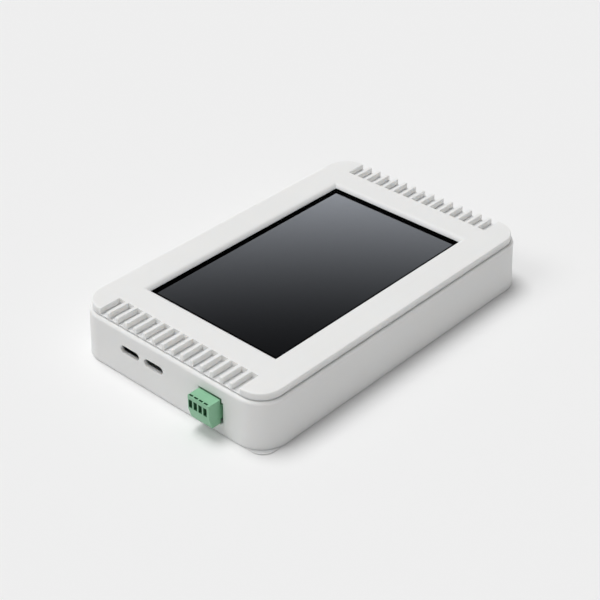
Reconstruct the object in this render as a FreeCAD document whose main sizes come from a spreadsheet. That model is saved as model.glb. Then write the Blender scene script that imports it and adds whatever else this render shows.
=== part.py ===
import FreeCAD, Part
import Sketcher
import operator
import os
from types import SimpleNamespace

# Five-inch touch screen display in a white plastic case.
# Millimetres, +Z up. The display faces +Z and the case rests on its back plate at z = 0.
# The origin is the middle of the back plate's outer face. X runs along the long side,
# and the connectors are in the wall at -X.

SIZES = {
    # main housing
    "case_length": 161.5,          # rim, along X
    "case_width": 101.8,           # rim, along Y
    "case_height": 24.9,           # back plate face to the cover's top
    "case_corner": 11.7,           # plan radius of the rim
    "wall_flare": 0.65,            # how far each wall leans out at its foot
    "rim_straight": 3.0,           # height of the upright band below the rim
    "wall_inset": 2.1,             # rim edge to the inner wall face
    "rim_round": 1.35,
    "rib_thick": 1.2,
    "rib_depth": 1.4,
    "rib_pitch": 45.0,
    "rib_count": 3,
    "rib_top_gap": 0.6,            # below the cover's skirt
    # front cover
    "cover_step": 1.45,            # the cover's edge stands this far inside the rim
    "cover_thick": 3.5,
    "cover_round": 0.5,
    "joint_gap": 0.3,              # shadow line between cover and rim
    "joint_depth": 0.35,
    "skirt_depth": 2.0,
    "skirt_thick": 1.2,
    "skirt_gap": 0.2,
    "window_length": 115.6,
    "window_width": 71.8,
    "bevel_run": 1.1,              # how far the window's sloped edge runs inwards
    "groove_count": 15,
    "groove_pitch": 5.16,
    "groove_width": 3.6,
    "groove_depth": 2.6,
    "groove_length": 10.1,         # from the cover's edge inwards
    # back plate
    "plate_thick": 2.0,
    "plate_rim": 0.45,             # part of the plate that shows under the walls
    "plate_corner": 8.3,
    "plate_gap": 0.2,              # plate's step to the inner wall
    "plate_boss_radius": 5.0,
    "plate_boss_height": 3.8,
    # case screws, inserts and posts
    "case_post_inset": 7.15,       # from the inner wall faces
    "case_post_radius": 4.0,
    "case_screw_radius": 1.45,
    "case_screw_length": 7.0,
    "case_head_radius": 2.8,
    "case_head_height": 2.0,
    "case_head_recess": 0.3,
    "screw_gap": 0.25,             # round a shank that passes through a hole
    "head_gap": 0.3,
    "drive_depth": 0.8,
    "drive_width": 0.7,
    "drive_span": 0.6,             # slot length as a share of the head's width
    "insert_radius": 2.2,
    "insert_length": 5.0,
    "insert_gap": 0.02,
    "tip_room": 1.0,               # hole depth left under a screw's tip
    # glass and display
    "glass_drop": 2.1,             # glass face below the cover's top
    "glass_length": 120.7,
    "glass_width": 76.0,
    "glass_thick": 1.1,
    "glass_corner": 2.0,
    "glass_gap": 0.25,
    "ribbon_room": 0.1,            # cover's relief round the ribbons at the glass
    "gasket_thick": 0.3,
    "gasket_margin": 0.5,
    "active_length": 108.0,
    "active_width": 64.8,
    "mask_thick": 0.1,
    "mask_margin": 0.4,
    "sensor_thick": 0.3,
    "sensor_length": 114.0,
    "sensor_width": 71.0,
    "tray_length": 118.0,
    "tray_width": 74.4,
    "tray_wall": 0.4,
    "tray_corner": 1.0,
    "tray_gap": 0.15,
    "cell_thick": 1.4,
    "film_thick": 0.2,
    "guide_thick": 1.3,
    "led_strip_width": 0.9,
    "clip_post_x": 35.0,
    "clip_post_gap": 0.5,          # tray's side to the post
    "clip_post_radius": 2.3,
    "clip_screw_wall": 0.8,        # least wall from a clip screw to the glass pocket
    "clip_width": 9.0,
    "clip_thick": 1.0,
    "clip_bite": 4.2,              # how far a clip reaches over the tray
    # small screws for board and clips
    "small_screw_radius": 0.95,
    "small_head_radius": 1.8,
    "small_head_height": 1.3,
    "board_screw_length": 6.0,
    "clip_screw_length": 5.0,
    "thread_gap": 0.02,
    # main board
    "board_gap": 1.85,             # display tray to the board's upper face
    "board_side_gap": 11.8,        # to the inner walls along the sides
    "board_clip_gap": 1.2,         # at least this far from the clip screws
    "board_thick": 1.6,
    "board_corner": 1.5,
    "board_edge_gap": 0.65,        # to the inner wall at -X
    "board_end_edge": 4.0,         # board left past the posts at +X
    "board_post_run": 7.0,         # posts stand this far past the display tray
    "board_post_inset": 4.5,       # posts to the board's long edges
    "board_post_radius": 3.0,
    # ports
    "port_middle": 13.55,          # along Y, between the two ports
    "port_pitch": 13.4,
    "slot_length": 10.5,
    "slot_height": 3.4,
    "oval_flat": 0.02,             # left flat at the ends of the oval outlines
    "shell_width": 8.94,
    "shell_height": 3.26,
    "shell_length": 7.3,
    "shell_wall": 0.3,
    "shell_setback": 0.2,          # behind the inner wall face
    "tongue_width": 6.69,
    "tongue_thick": 0.7,
    "tongue_length": 4.45,
    "tongue_base": 2.0,
    "tongue_gap": 0.02,            # its base to the shell
    # terminal header and plug
    "terminal_y": -23.87,
    "header_width": 13.1,
    "header_height": 8.8,
    "header_length": 12.0,
    "header_wall": 1.0,
    "header_recess": 0.05,         # where the plug seats, behind the rim line
    "header_setback": 1.6,         # the header's front face, further in than that
    "cavity_depth": 8.2,
    "cut_gap": 0.25,               # wall opening round the header
    "plug_cut_gap": 0.45,          # wall opening round the plug
    "pole_count": 4,
    "pole_pitch": 2.54,
    "pole_shift": 0.37,            # poles off the plug's middle
    "pin_side": 0.8,
    "pin_height": 4.4,             # middle of the pins above the header's foot
    "pin_front_gap": 1.7,          # pin tip behind the plug's seat
    "pin_leg_x": 1.9,              # leg's middle from the header's back face
    "pin_through": 0.8,            # leg above the board
    "pin_gap": 0.05,
    "plug_width": 11.1,
    "plug_height": 10.85,
    "plug_drop": 0.55,             # plug's underside below the header's foot
    "plug_length": 5.95,
    "plug_back_gap": 0.2,
    "plug_slope_height": 4.7,
    "plug_slope_run": 1.35,
    "nose_gap": 0.15,
    "nose_length": 6.5,
    "entry_width": 1.8,
    "entry_height": 4.05,
    "entry_top": 1.35,             # below the plug's top
    "entry_depth": 1.45,
    "probe_width": 1.45,
    "probe_length": 0.85,
    "probe_edge": 0.2,
    # clamps in the plug
    "cage_length": 3.0,
    "cage_width": 1.9,
    "cage_side": 0.2,
    "cage_cap": 0.7,
    "cage_foot": 1.0,
    "cage_window": 3.4,
    "cage_gap": 0.07,
    "cage_travel": 2.0,
    "bar_width": 1.1,
    "bar_thick": 0.6,
    "bar_gap": 0.05,
    "clamp_screw_radius": 0.68,
    "clamp_head_radius": 0.95,
    "clamp_head_height": 1.1,
    "clamp_head_recess": 0.3,
    "turn_gap": 0.06,              # round the turning clamp screws
    # flat cables and their sockets
    "flex_thick": 0.2,
    "lcd_flex_width": 26.0,
    "touch_flex_width": 8.0,
    "touch_flex_y": 27.0,
    "flex_reach": 0.7,             # straight run past the tray's end
    "socket_height": 1.5,
    "socket_length": 5.4,
    "socket_margin": 1.5,
    "socket_slot": 2.0,
    "socket_slot_gap": 0.05,
    "socket_x": 43.0,
}

SIGNS = {"+": operator.add, "-": operator.sub, "*": operator.mul, "/": operator.truediv}


class Size:
    # A length known both as a number and as the sheet formula that gives it.
    def __init__(self, value, text):
        self.value = value
        self.text = text

    def join(self, sign, other, swapped=False):
        other = as_size(other)
        first, second = (other, self) if swapped else (self, other)
        value = SIGNS[sign](first.value, second.value)
        return Size(value, f"({first.text} {sign} {second.text})")

    def __add__(self, other):
        return self.join("+", other)

    def __radd__(self, other):
        return self.join("+", other, swapped=True)

    def __sub__(self, other):
        return self.join("-", other)

    def __rsub__(self, other):
        return self.join("-", other, swapped=True)

    def __mul__(self, other):
        return self.join("*", other)

    def __rmul__(self, other):
        return self.join("*", other, swapped=True)

    def __truediv__(self, other):
        return self.join("/", other)

    def __neg__(self):
        return 0 - self


def as_size(number):
    return number if isinstance(number, Size) else Size(float(number), repr(number))


def smaller(first, second):
    return Size(min(first.value, second.value), f"min({first.text}; {second.text})")


def larger(first, second):
    return Size(max(first.value, second.value), f"max({first.text}; {second.text})")


# Document and sheet

doc = FreeCAD.newDocument("TouchDisplay")
sheet = doc.addObject("Spreadsheet::Sheet", "Sizes")
for row, (name, value) in enumerate(SIZES.items(), start=1):
    sheet.set(f"A{row}", name)
    sheet.set(f"B{row}", str(value))
    sheet.setAlias(f"B{row}", name)
doc.recompute()
s = SimpleNamespace(**{name: Size(float(sheet.get(name)), f"Sizes.{name}") for name in SIZES})

NODES = []


def node(shape_object, label):
    shape_object.Label = label
    NODES.append(shape_object)
    return shape_object


def bind(target, **sizes):
    for prop, size in sizes.items():
        target.setExpression(prop, as_size(size).text)


def place(target, x=0, y=0, z=0):
    for axis, size in (("x", x), ("y", y), ("z", z)):
        target.setExpression(f"Placement.Base.{axis}", as_size(size).text)


# Solids from primitives

AXIS_X = FreeCAD.Rotation(FreeCAD.Vector(0, 1, 0), 90)
AXIS_Y = FreeCAD.Rotation(FreeCAD.Vector(1, 0, 0), -90)
AXIS_Z = FreeCAD.Rotation()


def box(name, length, width, height, x, y, z):
    # x is the low end; y is the middle; z is the foot
    made = doc.addObject("Part::Box", name)
    bind(made, Length=length, Width=width, Height=height)
    place(made, x, as_size(y) - as_size(width) / 2, z)
    return made


def cylinder(name, radius, height, x, y, z, rotation=AXIS_Z, angle=360):
    made = doc.addObject("Part::Cylinder", name)
    bind(made, Radius=radius, Height=height)
    made.Angle = angle
    made.Placement = FreeCAD.Placement(FreeCAD.Vector(), rotation)
    place(made, x, y, z)
    return made


def fuse(name, pieces):
    made = doc.addObject("Part::MultiFuse", name)
    made.Shapes = pieces
    return made


def cut(name, base, tools):
    made = doc.addObject("Part::Cut", name)
    made.Base = base
    made.Tool = tools[0] if len(tools) == 1 else fuse(name + "_tools", tools)
    return made


# Bodies from sketches

def new_body(name):
    body = doc.addObject("PartDesign::Body", name)
    return body


def origin_feature(body, role):
    return next(part for part in body.Origin.OriginFeatures if part.Role == role)


def sketch_on(body, name, role="XY_Plane", offset=0):
    sketch = body.newObject("Sketcher::SketchObject", name)
    sketch.AttachmentSupport = [(origin_feature(body, role), "")]
    sketch.MapMode = "FlatFace"
    sketch.setExpression("AttachmentOffset.Base.z", as_size(offset).text)
    return sketch


def constrain(sketch, kind, *where, size):
    index = sketch.addConstraint(Sketcher.Constraint(kind, *where, as_size(size).value))
    sketch.setExpression(f"Constraints[{index}]", as_size(size).text)


ORIGIN = (-1, 1)


def draw_rect(sketch, low_x, high_x, low_y, high_y):
    left, right, bottom, top = (as_size(size) for size in (low_x, high_x, low_y, high_y))
    corners = [(left, bottom), (right, bottom), (right, top), (left, top)]
    points = [FreeCAD.Vector(a.value, b.value, 0) for a, b in corners]
    sides = [sketch.addGeometry(Part.LineSegment(points[i], points[(i + 1) % 4])) for i in range(4)]
    for i in range(4):
        sketch.addConstraint(Sketcher.Constraint("Coincident", sides[i], 2, sides[(i + 1) % 4], 1))
        kind = "Horizontal" if i % 2 == 0 else "Vertical"
        sketch.addConstraint(Sketcher.Constraint(kind, sides[i]))
    constrain(sketch, "DistanceX", *ORIGIN, sides[3], 1, size=left)
    constrain(sketch, "DistanceX", *ORIGIN, sides[1], 1, size=right)
    constrain(sketch, "DistanceY", *ORIGIN, sides[0], 1, size=bottom)
    constrain(sketch, "DistanceY", *ORIGIN, sides[2], 1, size=top)


def draw_centred_rect(sketch, length, width, x=0, y=0):
    x, y = as_size(x), as_size(y)
    draw_rect(sketch, x - length / 2, x + length / 2, y - width / 2, y + width / 2)


def draw_round_rect(sketch, length, width, radius, x=0, y=0):
    length, width, radius, x, y = (as_size(size) for size in (length, width, radius, x, y))
    a, b, r = length.value / 2, width.value / 2, radius.value
    mid = FreeCAD.Vector(x.value, y.value, 0)
    ends = [
        ((-a + r, -b), (a - r, -b)),
        ((a, -b + r), (a, b - r)),
        ((a - r, b), (-a + r, b)),
        ((-a, b - r), (-a, -b + r)),
    ]
    centres = [(a - r, -b + r), (a - r, b - r), (-a + r, b - r), (-a + r, -b + r)]
    quarter = 1.5707963267948966
    sides, arcs = [], []
    for i, ((x1, y1), (x2, y2)) in enumerate(ends):
        line = Part.LineSegment(mid + FreeCAD.Vector(x1, y1, 0), mid + FreeCAD.Vector(x2, y2, 0))
        sides.append(sketch.addGeometry(line))
        circle = Part.Circle(mid + FreeCAD.Vector(*centres[i], 0), FreeCAD.Vector(0, 0, 1), r)
        start = (i - 1) * quarter
        arcs.append(sketch.addGeometry(Part.ArcOfCircle(circle, start, start + quarter)))
    for i in range(4):
        sketch.addConstraint(Sketcher.Constraint("Tangent", sides[i], 2, arcs[i], 1))
        sketch.addConstraint(Sketcher.Constraint("Tangent", arcs[i], 2, sides[(i + 1) % 4], 1))
        kind = "Horizontal" if i % 2 == 0 else "Vertical"
        sketch.addConstraint(Sketcher.Constraint(kind, sides[i]))
        if i:
            sketch.addConstraint(Sketcher.Constraint("Equal", arcs[0], arcs[i]))
    constrain(sketch, "Radius", arcs[0], size=radius)
    constrain(sketch, "DistanceX", *ORIGIN, sides[1], 1, size=x + length / 2)
    constrain(sketch, "DistanceX", *ORIGIN, sides[3], 1, size=x - length / 2)
    constrain(sketch, "DistanceY", *ORIGIN, sides[0], 1, size=y - width / 2)
    constrain(sketch, "DistanceY", *ORIGIN, sides[2], 1, size=y + width / 2)


def draw_circle(sketch, radius, x, y):
    radius, x, y = as_size(radius), as_size(x), as_size(y)
    circle = Part.Circle(FreeCAD.Vector(x.value, y.value, 0), FreeCAD.Vector(0, 0, 1), radius.value)
    index = sketch.addGeometry(circle)
    constrain(sketch, "Radius", index, size=radius)
    constrain(sketch, "DistanceX", *ORIGIN, index, 3, size=x)
    constrain(sketch, "DistanceY", *ORIGIN, index, 3, size=y)


def draw_outline(sketch, points):
    # closed outline of straight sides through points given as sizes
    points = [(as_size(x), as_size(y)) for x, y in points]
    ends = [FreeCAD.Vector(x.value, y.value, 0) for x, y in points]
    count = len(points)
    sides = [sketch.addGeometry(Part.LineSegment(ends[i], ends[(i + 1) % count])) for i in range(count)]
    for i, (x, y) in enumerate(points):
        sketch.addConstraint(Sketcher.Constraint("Coincident", sides[i - 1], 2, sides[i], 1))
        constrain(sketch, "DistanceX", *ORIGIN, sides[i], 1, size=x)
        constrain(sketch, "DistanceY", *ORIGIN, sides[i], 1, size=y)


def pad(body, sketch, length, down=False):
    made = body.newObject("PartDesign::Pad", sketch.Name + "_pad")
    made.Profile = sketch
    bind(made, Length=length)
    made.Reversed = down
    return made


def pocket(body, sketch, depth, along_normal):
    # a pocket runs against the sketch's normal unless it is turned round
    made = body.newObject("PartDesign::Pocket", sketch.Name + "_pocket")
    made.Profile = sketch
    bind(made, Length=depth)
    made.Reversed = along_normal
    return made


def round_edges(body, name, radius, chosen):
    # chosen tells from an edge's box whether the edge is rounded
    doc.recompute()
    base = body.Tip
    edges = [
        f"Edge{i}" for i, edge in enumerate(base.Shape.Edges, start=1) if chosen(edge.BoundBox)
    ]
    made = body.newObject("PartDesign::Fillet", name)
    made.Base = (base, edges)
    bind(made, Radius=radius)
    return made


def level_at(box_of_edge, size):
    near = 1e-4
    return abs(box_of_edge.ZMin - size.value) < near and abs(box_of_edge.ZMax - size.value) < near


def corners(x, y):
    return [(side_x * x, side_y * y) for side_x in (-1, 1) for side_y in (-1, 1)]


def plate(label, length, width, thick, z, radius=None, hole=None, x=0, y=0):
    # flat piece, optionally with round corners and a rectangular hole
    body = new_body(label)
    sketch = sketch_on(body, label + "_outline")
    if radius is None:
        draw_centred_rect(sketch, length, width)
    else:
        draw_round_rect(sketch, length, width, radius)
    if hole:
        draw_centred_rect(sketch, *hole)
    pad(body, sketch, thick)
    place(body, x, y, z)
    return node(body, label)


# Levels and faces that several pieces share

rim_z = s.case_height - s.cover_thick
inner_length = s.case_length - 2 * s.wall_inset
inner_width = s.case_width - 2 * s.wall_inset
inner_corner = s.case_corner - s.wall_inset
foot_length = s.case_length + 2 * s.wall_flare
foot_width = s.case_width + 2 * s.wall_flare
foot_corner = s.case_corner + s.wall_flare
case_post_x = inner_length / 2 - s.case_post_inset
case_post_y = inner_width / 2 - s.case_post_inset
glass_top = s.case_height - s.glass_drop
glass_foot = glass_top - s.glass_thick
lip_foot = glass_top + s.gasket_thick
sensor_foot = glass_foot - s.mask_thick - s.sensor_thick
cell_foot = sensor_foot - s.cell_thick
film_foot = cell_foot - s.film_thick
guide_foot = film_foot - s.guide_thick
tray_foot = guide_foot - s.tray_wall
clip_foot = tray_foot - s.clip_thick
glass_pocket_x = s.glass_length / 2 + s.glass_gap
glass_pocket_y = s.glass_width / 2 + s.glass_gap
display_end_x = larger(s.tray_length, s.sensor_length) / 2
clip_post_y = larger(
    s.tray_width / 2 + s.clip_post_gap + s.clip_post_radius,
    glass_pocket_y + s.small_screw_radius + s.clip_screw_wall,
)
board_top = tray_foot - s.board_gap
board_foot = board_top - s.board_thick
board_x = s.board_edge_gap - inner_length / 2
board_post_x = display_end_x + s.board_post_run
board_length = board_post_x + s.board_end_edge - board_x
board_width = smaller(
    inner_width - 2 * s.board_side_gap,
    2 * (clip_post_y - s.small_head_radius - s.board_clip_gap),
)
board_post_y = board_width / 2 - s.board_post_inset
port_z = board_foot - s.shell_height / 2
flex_bend_x = display_end_x + s.flex_reach
flex_slot_foot = board_top + s.socket_height / 2
touch_flex_foot = glass_foot - s.mask_thick - s.flex_thick
flex_end_x = flex_bend_x + (touch_flex_foot - flex_slot_foot) / 2 + s.flex_thick / 2
groove_start = s.case_length / 2 - s.cover_step - s.groove_length
header_foot = board_foot - s.header_height
header_x = s.header_recess - s.case_length / 2
header_face_x = header_x + s.header_setback
header_back_x = header_x + s.header_length
plug_back_x = header_x - s.plug_back_gap
plug_front_x = plug_back_x - s.plug_length
plug_foot = header_foot - s.plug_drop
plug_top = plug_foot + s.plug_height
pin_z = header_foot + s.pin_height
bar_foot = pin_z + s.pin_side / 2 + s.bar_gap
entry_top_z = plug_top - s.entry_top
cage_x = plug_front_x + s.entry_depth + 2 * s.cage_gap
cage_back_x = cage_x + s.cage_length
cage_window_foot = bar_foot - 2 * s.bar_gap
cage_foot_z = cage_window_foot - s.cage_foot
cage_height = s.cage_foot + s.cage_window + s.cage_cap
shaft_foot = cage_foot_z - s.cage_travel - s.cage_gap
shaft_top = cage_foot_z + cage_height + s.cage_gap
clamp_x = cage_x + s.cage_length / 2
ports_y = [s.port_middle + side * s.port_pitch / 2 for side in (-1, 1)]
poles_y = [
    s.terminal_y + s.pole_shift + (i - (SIZES["pole_count"] - 1) / 2) * s.pole_pitch
    for i in range(SIZES["pole_count"])
]


# Front cover

def make_front_cover():
    body = new_body("front_cover")
    length = s.case_length - 2 * s.cover_step
    width = s.case_width - 2 * s.cover_step
    corner = s.case_corner - s.cover_step

    slab = sketch_on(body, "cover_slab", offset=rim_z + s.joint_gap)
    draw_round_rect(slab, length, width, corner)
    pad(body, slab, s.cover_thick - s.joint_gap)
    seat = sketch_on(body, "cover_seat", offset=rim_z)
    draw_round_rect(
        seat, length - 2 * s.joint_depth, width - 2 * s.joint_depth, corner - s.joint_depth
    )
    pad(body, seat, s.joint_gap)
    round_edges(
        body, "cover_edge_round", s.cover_round, lambda edge: level_at(edge, s.case_height)
    )

    skirt = sketch_on(body, "cover_skirt", offset=rim_z)
    for inset in (s.skirt_gap, s.skirt_gap + s.skirt_thick):
        draw_round_rect(
            skirt, inner_length - 2 * inset, inner_width - 2 * inset, inner_corner - inset
        )
    pad(body, skirt, s.skirt_depth, down=True)

    posts = [
        ("case_posts", case_post_x, case_post_y, s.case_post_radius, s.plate_boss_height),
        ("board_posts", board_post_x, board_post_y, s.board_post_radius, board_top),
        ("clip_posts", s.clip_post_x, clip_post_y, s.clip_post_radius, tray_foot),
    ]
    for name, x, y, radius, foot in posts:
        sketch = sketch_on(body, name, offset=rim_z)
        for post_x, post_y in corners(x, y):
            draw_circle(sketch, radius, post_x, post_y)
        pad(body, sketch, rim_z - foot, down=True)

    window = [sketch_on(body, "window_top", offset=s.case_height)]
    draw_centred_rect(window[0], s.window_length, s.window_width)
    window.append(sketch_on(body, "window_foot", offset=lip_foot))
    draw_centred_rect(
        window[1], s.window_length - 2 * s.bevel_run, s.window_width - 2 * s.bevel_run
    )
    bevel = body.newObject("PartDesign::SubtractiveLoft", "window_bevel")
    bevel.Profile = window[0]
    bevel.Sections = [window[1]]
    bevel.Ruled = True

    seat_pocket = sketch_on(body, "glass_pocket", offset=rim_z)
    draw_round_rect(seat_pocket, 2 * glass_pocket_x, 2 * glass_pocket_y, s.glass_corner)
    pocket(body, seat_pocket, lip_foot - rim_z, along_normal=True)

    # relief over the ribbons where they leave the glass
    relief = sketch_on(body, "ribbon_relief", offset=rim_z)
    relief_x = larger(glass_pocket_x, flex_end_x) + s.ribbon_room
    for y, width in ((0, s.lcd_flex_width), (s.touch_flex_y, s.touch_flex_width)):
        half = width / 2 + s.ribbon_room
        draw_rect(relief, glass_pocket_x - s.glass_corner, relief_x, y - half, y + half)
    relief_top = touch_flex_foot + s.flex_thick + s.ribbon_room
    pocket(body, relief, relief_top - rim_z, along_normal=True)

    case_screw_top = s.case_head_recess + s.case_head_height + s.case_screw_length
    hole_length = case_screw_top + s.tip_room - s.plate_boss_height
    holes = [
        ("insert_holes", case_post_x, case_post_y, s.insert_radius + s.insert_gap,
         s.plate_boss_height, hole_length),
        ("board_pilots", board_post_x, board_post_y, s.small_screw_radius + s.thread_gap,
         board_top, s.board_screw_length - s.board_thick + s.tip_room),
        ("clip_pilots", s.clip_post_x, clip_post_y, s.small_screw_radius + s.thread_gap,
         tray_foot, s.clip_screw_length - s.clip_thick + s.tip_room),
    ]
    for name, x, y, radius, foot, depth in holes:
        sketch = sketch_on(body, name, offset=foot)
        for hole_x, hole_y in corners(x, y):
            draw_circle(sketch, radius, hole_x, hole_y)
        pocket(body, sketch, depth, along_normal=True)

    groove = sketch_on(body, "vent_groove", offset=s.case_height)
    first_y = -(s.groove_count - 1) * s.groove_pitch / 2
    for start, end in ((groove_start, s.case_length / 2), (-s.case_length / 2, -groove_start)):
        draw_rect(groove, start, end, first_y - s.groove_width / 2, first_y + s.groove_width / 2)
    grooves = pocket(body, groove, s.groove_depth, along_normal=False)
    pattern = body.newObject("PartDesign::LinearPattern", "vent_grooves")
    pattern.Originals = [grooves]
    pattern.Direction = (origin_feature(body, "Y_Axis"), [""])
    bind(pattern, Length=(s.groove_count - 1) * s.groove_pitch, Occurrences=s.groove_count)
    body.Tip = pattern
    node(body, "front_cover")


# Main housing

def make_main_housing():
    body = new_body("main_housing")
    rim = sketch_on(body, "housing_rim", offset=rim_z)
    draw_round_rect(rim, s.case_length, s.case_width, s.case_corner)
    pad(body, rim, s.rim_straight, down=True)
    round_edges(body, "rim_edge_round", s.rim_round, lambda edge: level_at(edge, rim_z))
    foot = sketch_on(body, "housing_foot", offset=s.plate_rim)
    draw_round_rect(foot, foot_length, foot_width, foot_corner)
    waist = sketch_on(body, "housing_waist", offset=rim_z - s.rim_straight)
    draw_round_rect(waist, s.case_length, s.case_width, s.case_corner)
    walls = body.newObject("PartDesign::AdditiveLoft", "housing_walls")
    walls.Profile = foot
    walls.Sections = [waist]
    walls.Ruled = True

    inside = sketch_on(body, "housing_inside", offset=s.plate_rim)
    draw_round_rect(inside, inner_length, inner_width, inner_corner)
    pocket(body, inside, rim_z - s.plate_rim, along_normal=True)

    rib = sketch_on(body, "wall_rib", offset=s.plate_thick + s.plate_gap)
    first_x = -(s.rib_count - 1) * s.rib_pitch / 2
    reach = inner_width / 2 + s.wall_inset / 2
    depth = inner_width / 2 - s.rib_depth
    for low_y, high_y in ((depth, reach), (-reach, -depth)):
        draw_rect(rib, first_x - s.rib_thick / 2, first_x + s.rib_thick / 2, low_y, high_y)
    rib_height = rim_z - s.skirt_depth - s.rib_top_gap - s.plate_thick - s.plate_gap
    ribs = pad(body, rib, rib_height)
    pattern = body.newObject("PartDesign::LinearPattern", "wall_ribs")
    pattern.Originals = [ribs]
    pattern.Direction = (origin_feature(body, "X_Axis"), [""])
    bind(pattern, Length=(s.rib_count - 1) * s.rib_pitch, Occurrences=s.rib_count)
    body.Tip = pattern

    # openings in the wall at -X, cut inwards from outside the wall
    outside_x = foot_length / 2 + s.wall_inset
    reach_in = outside_x - inner_length / 2 + s.rib_depth
    slots = sketch_on(body, "port_slots", role="YZ_Plane", offset=-outside_x)
    for port_y in ports_y:
        draw_round_rect(
            slots, s.slot_length, s.slot_height, s.slot_height / 2 - s.oval_flat,
            x=port_y, y=port_z,
        )
    pocket(body, slots, reach_in, along_normal=True)
    header_cut = sketch_on(body, "header_opening", role="YZ_Plane", offset=-outside_x)
    half = s.header_width / 2 + s.cut_gap
    draw_rect(
        header_cut, s.terminal_y - half, s.terminal_y + half,
        header_foot - s.cut_gap, board_foot + s.cut_gap,
    )
    pocket(body, header_cut, reach_in, along_normal=True)
    plug_cut = sketch_on(body, "plug_opening", role="YZ_Plane", offset=-outside_x)
    half = s.plug_width / 2 + s.plug_cut_gap
    draw_rect(
        plug_cut, s.terminal_y - half, s.terminal_y + half,
        plug_foot - s.plug_cut_gap, plug_top + s.plug_cut_gap,
    )
    pocket(body, plug_cut, reach_in, along_normal=True)
    node(body, "main_housing")


# Back plate with its screw bosses

def make_back_plate():
    body = new_body("back_plate")
    flange = sketch_on(body, "plate_flange")
    draw_round_rect(flange, foot_length, foot_width, s.plate_corner)
    pad(body, flange, s.plate_rim)
    step = sketch_on(body, "plate_step")
    draw_round_rect(
        step, inner_length - 2 * s.plate_gap, inner_width - 2 * s.plate_gap,
        inner_corner - s.plate_gap,
    )
    pad(body, step, s.plate_thick)
    bosses = sketch_on(body, "plate_bosses")
    bores = sketch_on(body, "plate_bores")
    heads = sketch_on(body, "plate_head_recesses")
    for x, y in corners(case_post_x, case_post_y):
        draw_circle(bosses, s.plate_boss_radius, x, y)
        draw_circle(bores, s.case_screw_radius + s.screw_gap, x, y)
        draw_circle(heads, s.case_head_radius + s.head_gap, x, y)
    pad(body, bosses, s.plate_boss_height)
    pocket(body, bores, s.plate_boss_height, along_normal=True)
    pocket(body, heads, s.case_head_recess + s.case_head_height, along_normal=True)
    node(body, "back_plate")


# Screws stand head down: a head, a shank and a drive slot

def screw(name, x, y, head_foot, head_radius, head_height, shank_radius, shank_length):
    head = cylinder(name + "_head", head_radius, head_height, x, y, head_foot)
    shank = cylinder(name + "_shank", shank_radius, shank_length, x, y, head_foot + head_height)
    slot_length = 2 * head_radius * s.drive_span
    slots = [
        box(name + "_slot_a", slot_length, s.drive_width, s.drive_depth,
            x - slot_length / 2, y, head_foot),
        box(name + "_slot_b", s.drive_width, slot_length, s.drive_depth,
            x - s.drive_width / 2, y, head_foot),
    ]
    return cut(name, fuse(name + "_solid", [head, shank]), slots)


def make_screw_set(label, x, y, **shape):
    screws = [
        screw(f"{label}_{i}", post_x, post_y, **shape)
        for i, (post_x, post_y) in enumerate(corners(x, y), start=1)
    ]
    node(fuse(label, screws), label)


def make_fasteners():
    make_screw_set(
        "case_screws", case_post_x, case_post_y, head_foot=s.case_head_recess,
        head_radius=s.case_head_radius, head_height=s.case_head_height,
        shank_radius=s.case_screw_radius, shank_length=s.case_screw_length,
    )
    small = {
        "head_radius": s.small_head_radius,
        "head_height": s.small_head_height,
        "shank_radius": s.small_screw_radius,
    }
    make_screw_set(
        "board_screws", board_post_x, board_post_y,
        head_foot=board_foot - s.small_head_height, shank_length=s.board_screw_length, **small,
    )
    make_screw_set(
        "clip_screws", s.clip_post_x, clip_post_y,
        head_foot=clip_foot - s.small_head_height, shank_length=s.clip_screw_length, **small,
    )
    inserts = []
    for i, (x, y) in enumerate(corners(case_post_x, case_post_y), start=1):
        name = f"case_insert_{i}"
        outer = cylinder(name + "_outer", s.insert_radius, s.insert_length,
                         x, y, s.plate_boss_height)
        bore = cylinder(name + "_bore", s.case_screw_radius + s.thread_gap, s.insert_length,
                        x, y, s.plate_boss_height)
        inserts.append(cut(name, outer, [bore]))
    node(fuse("case_inserts", inserts), "case_inserts")


# Glass and display stack, from the top down

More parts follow.
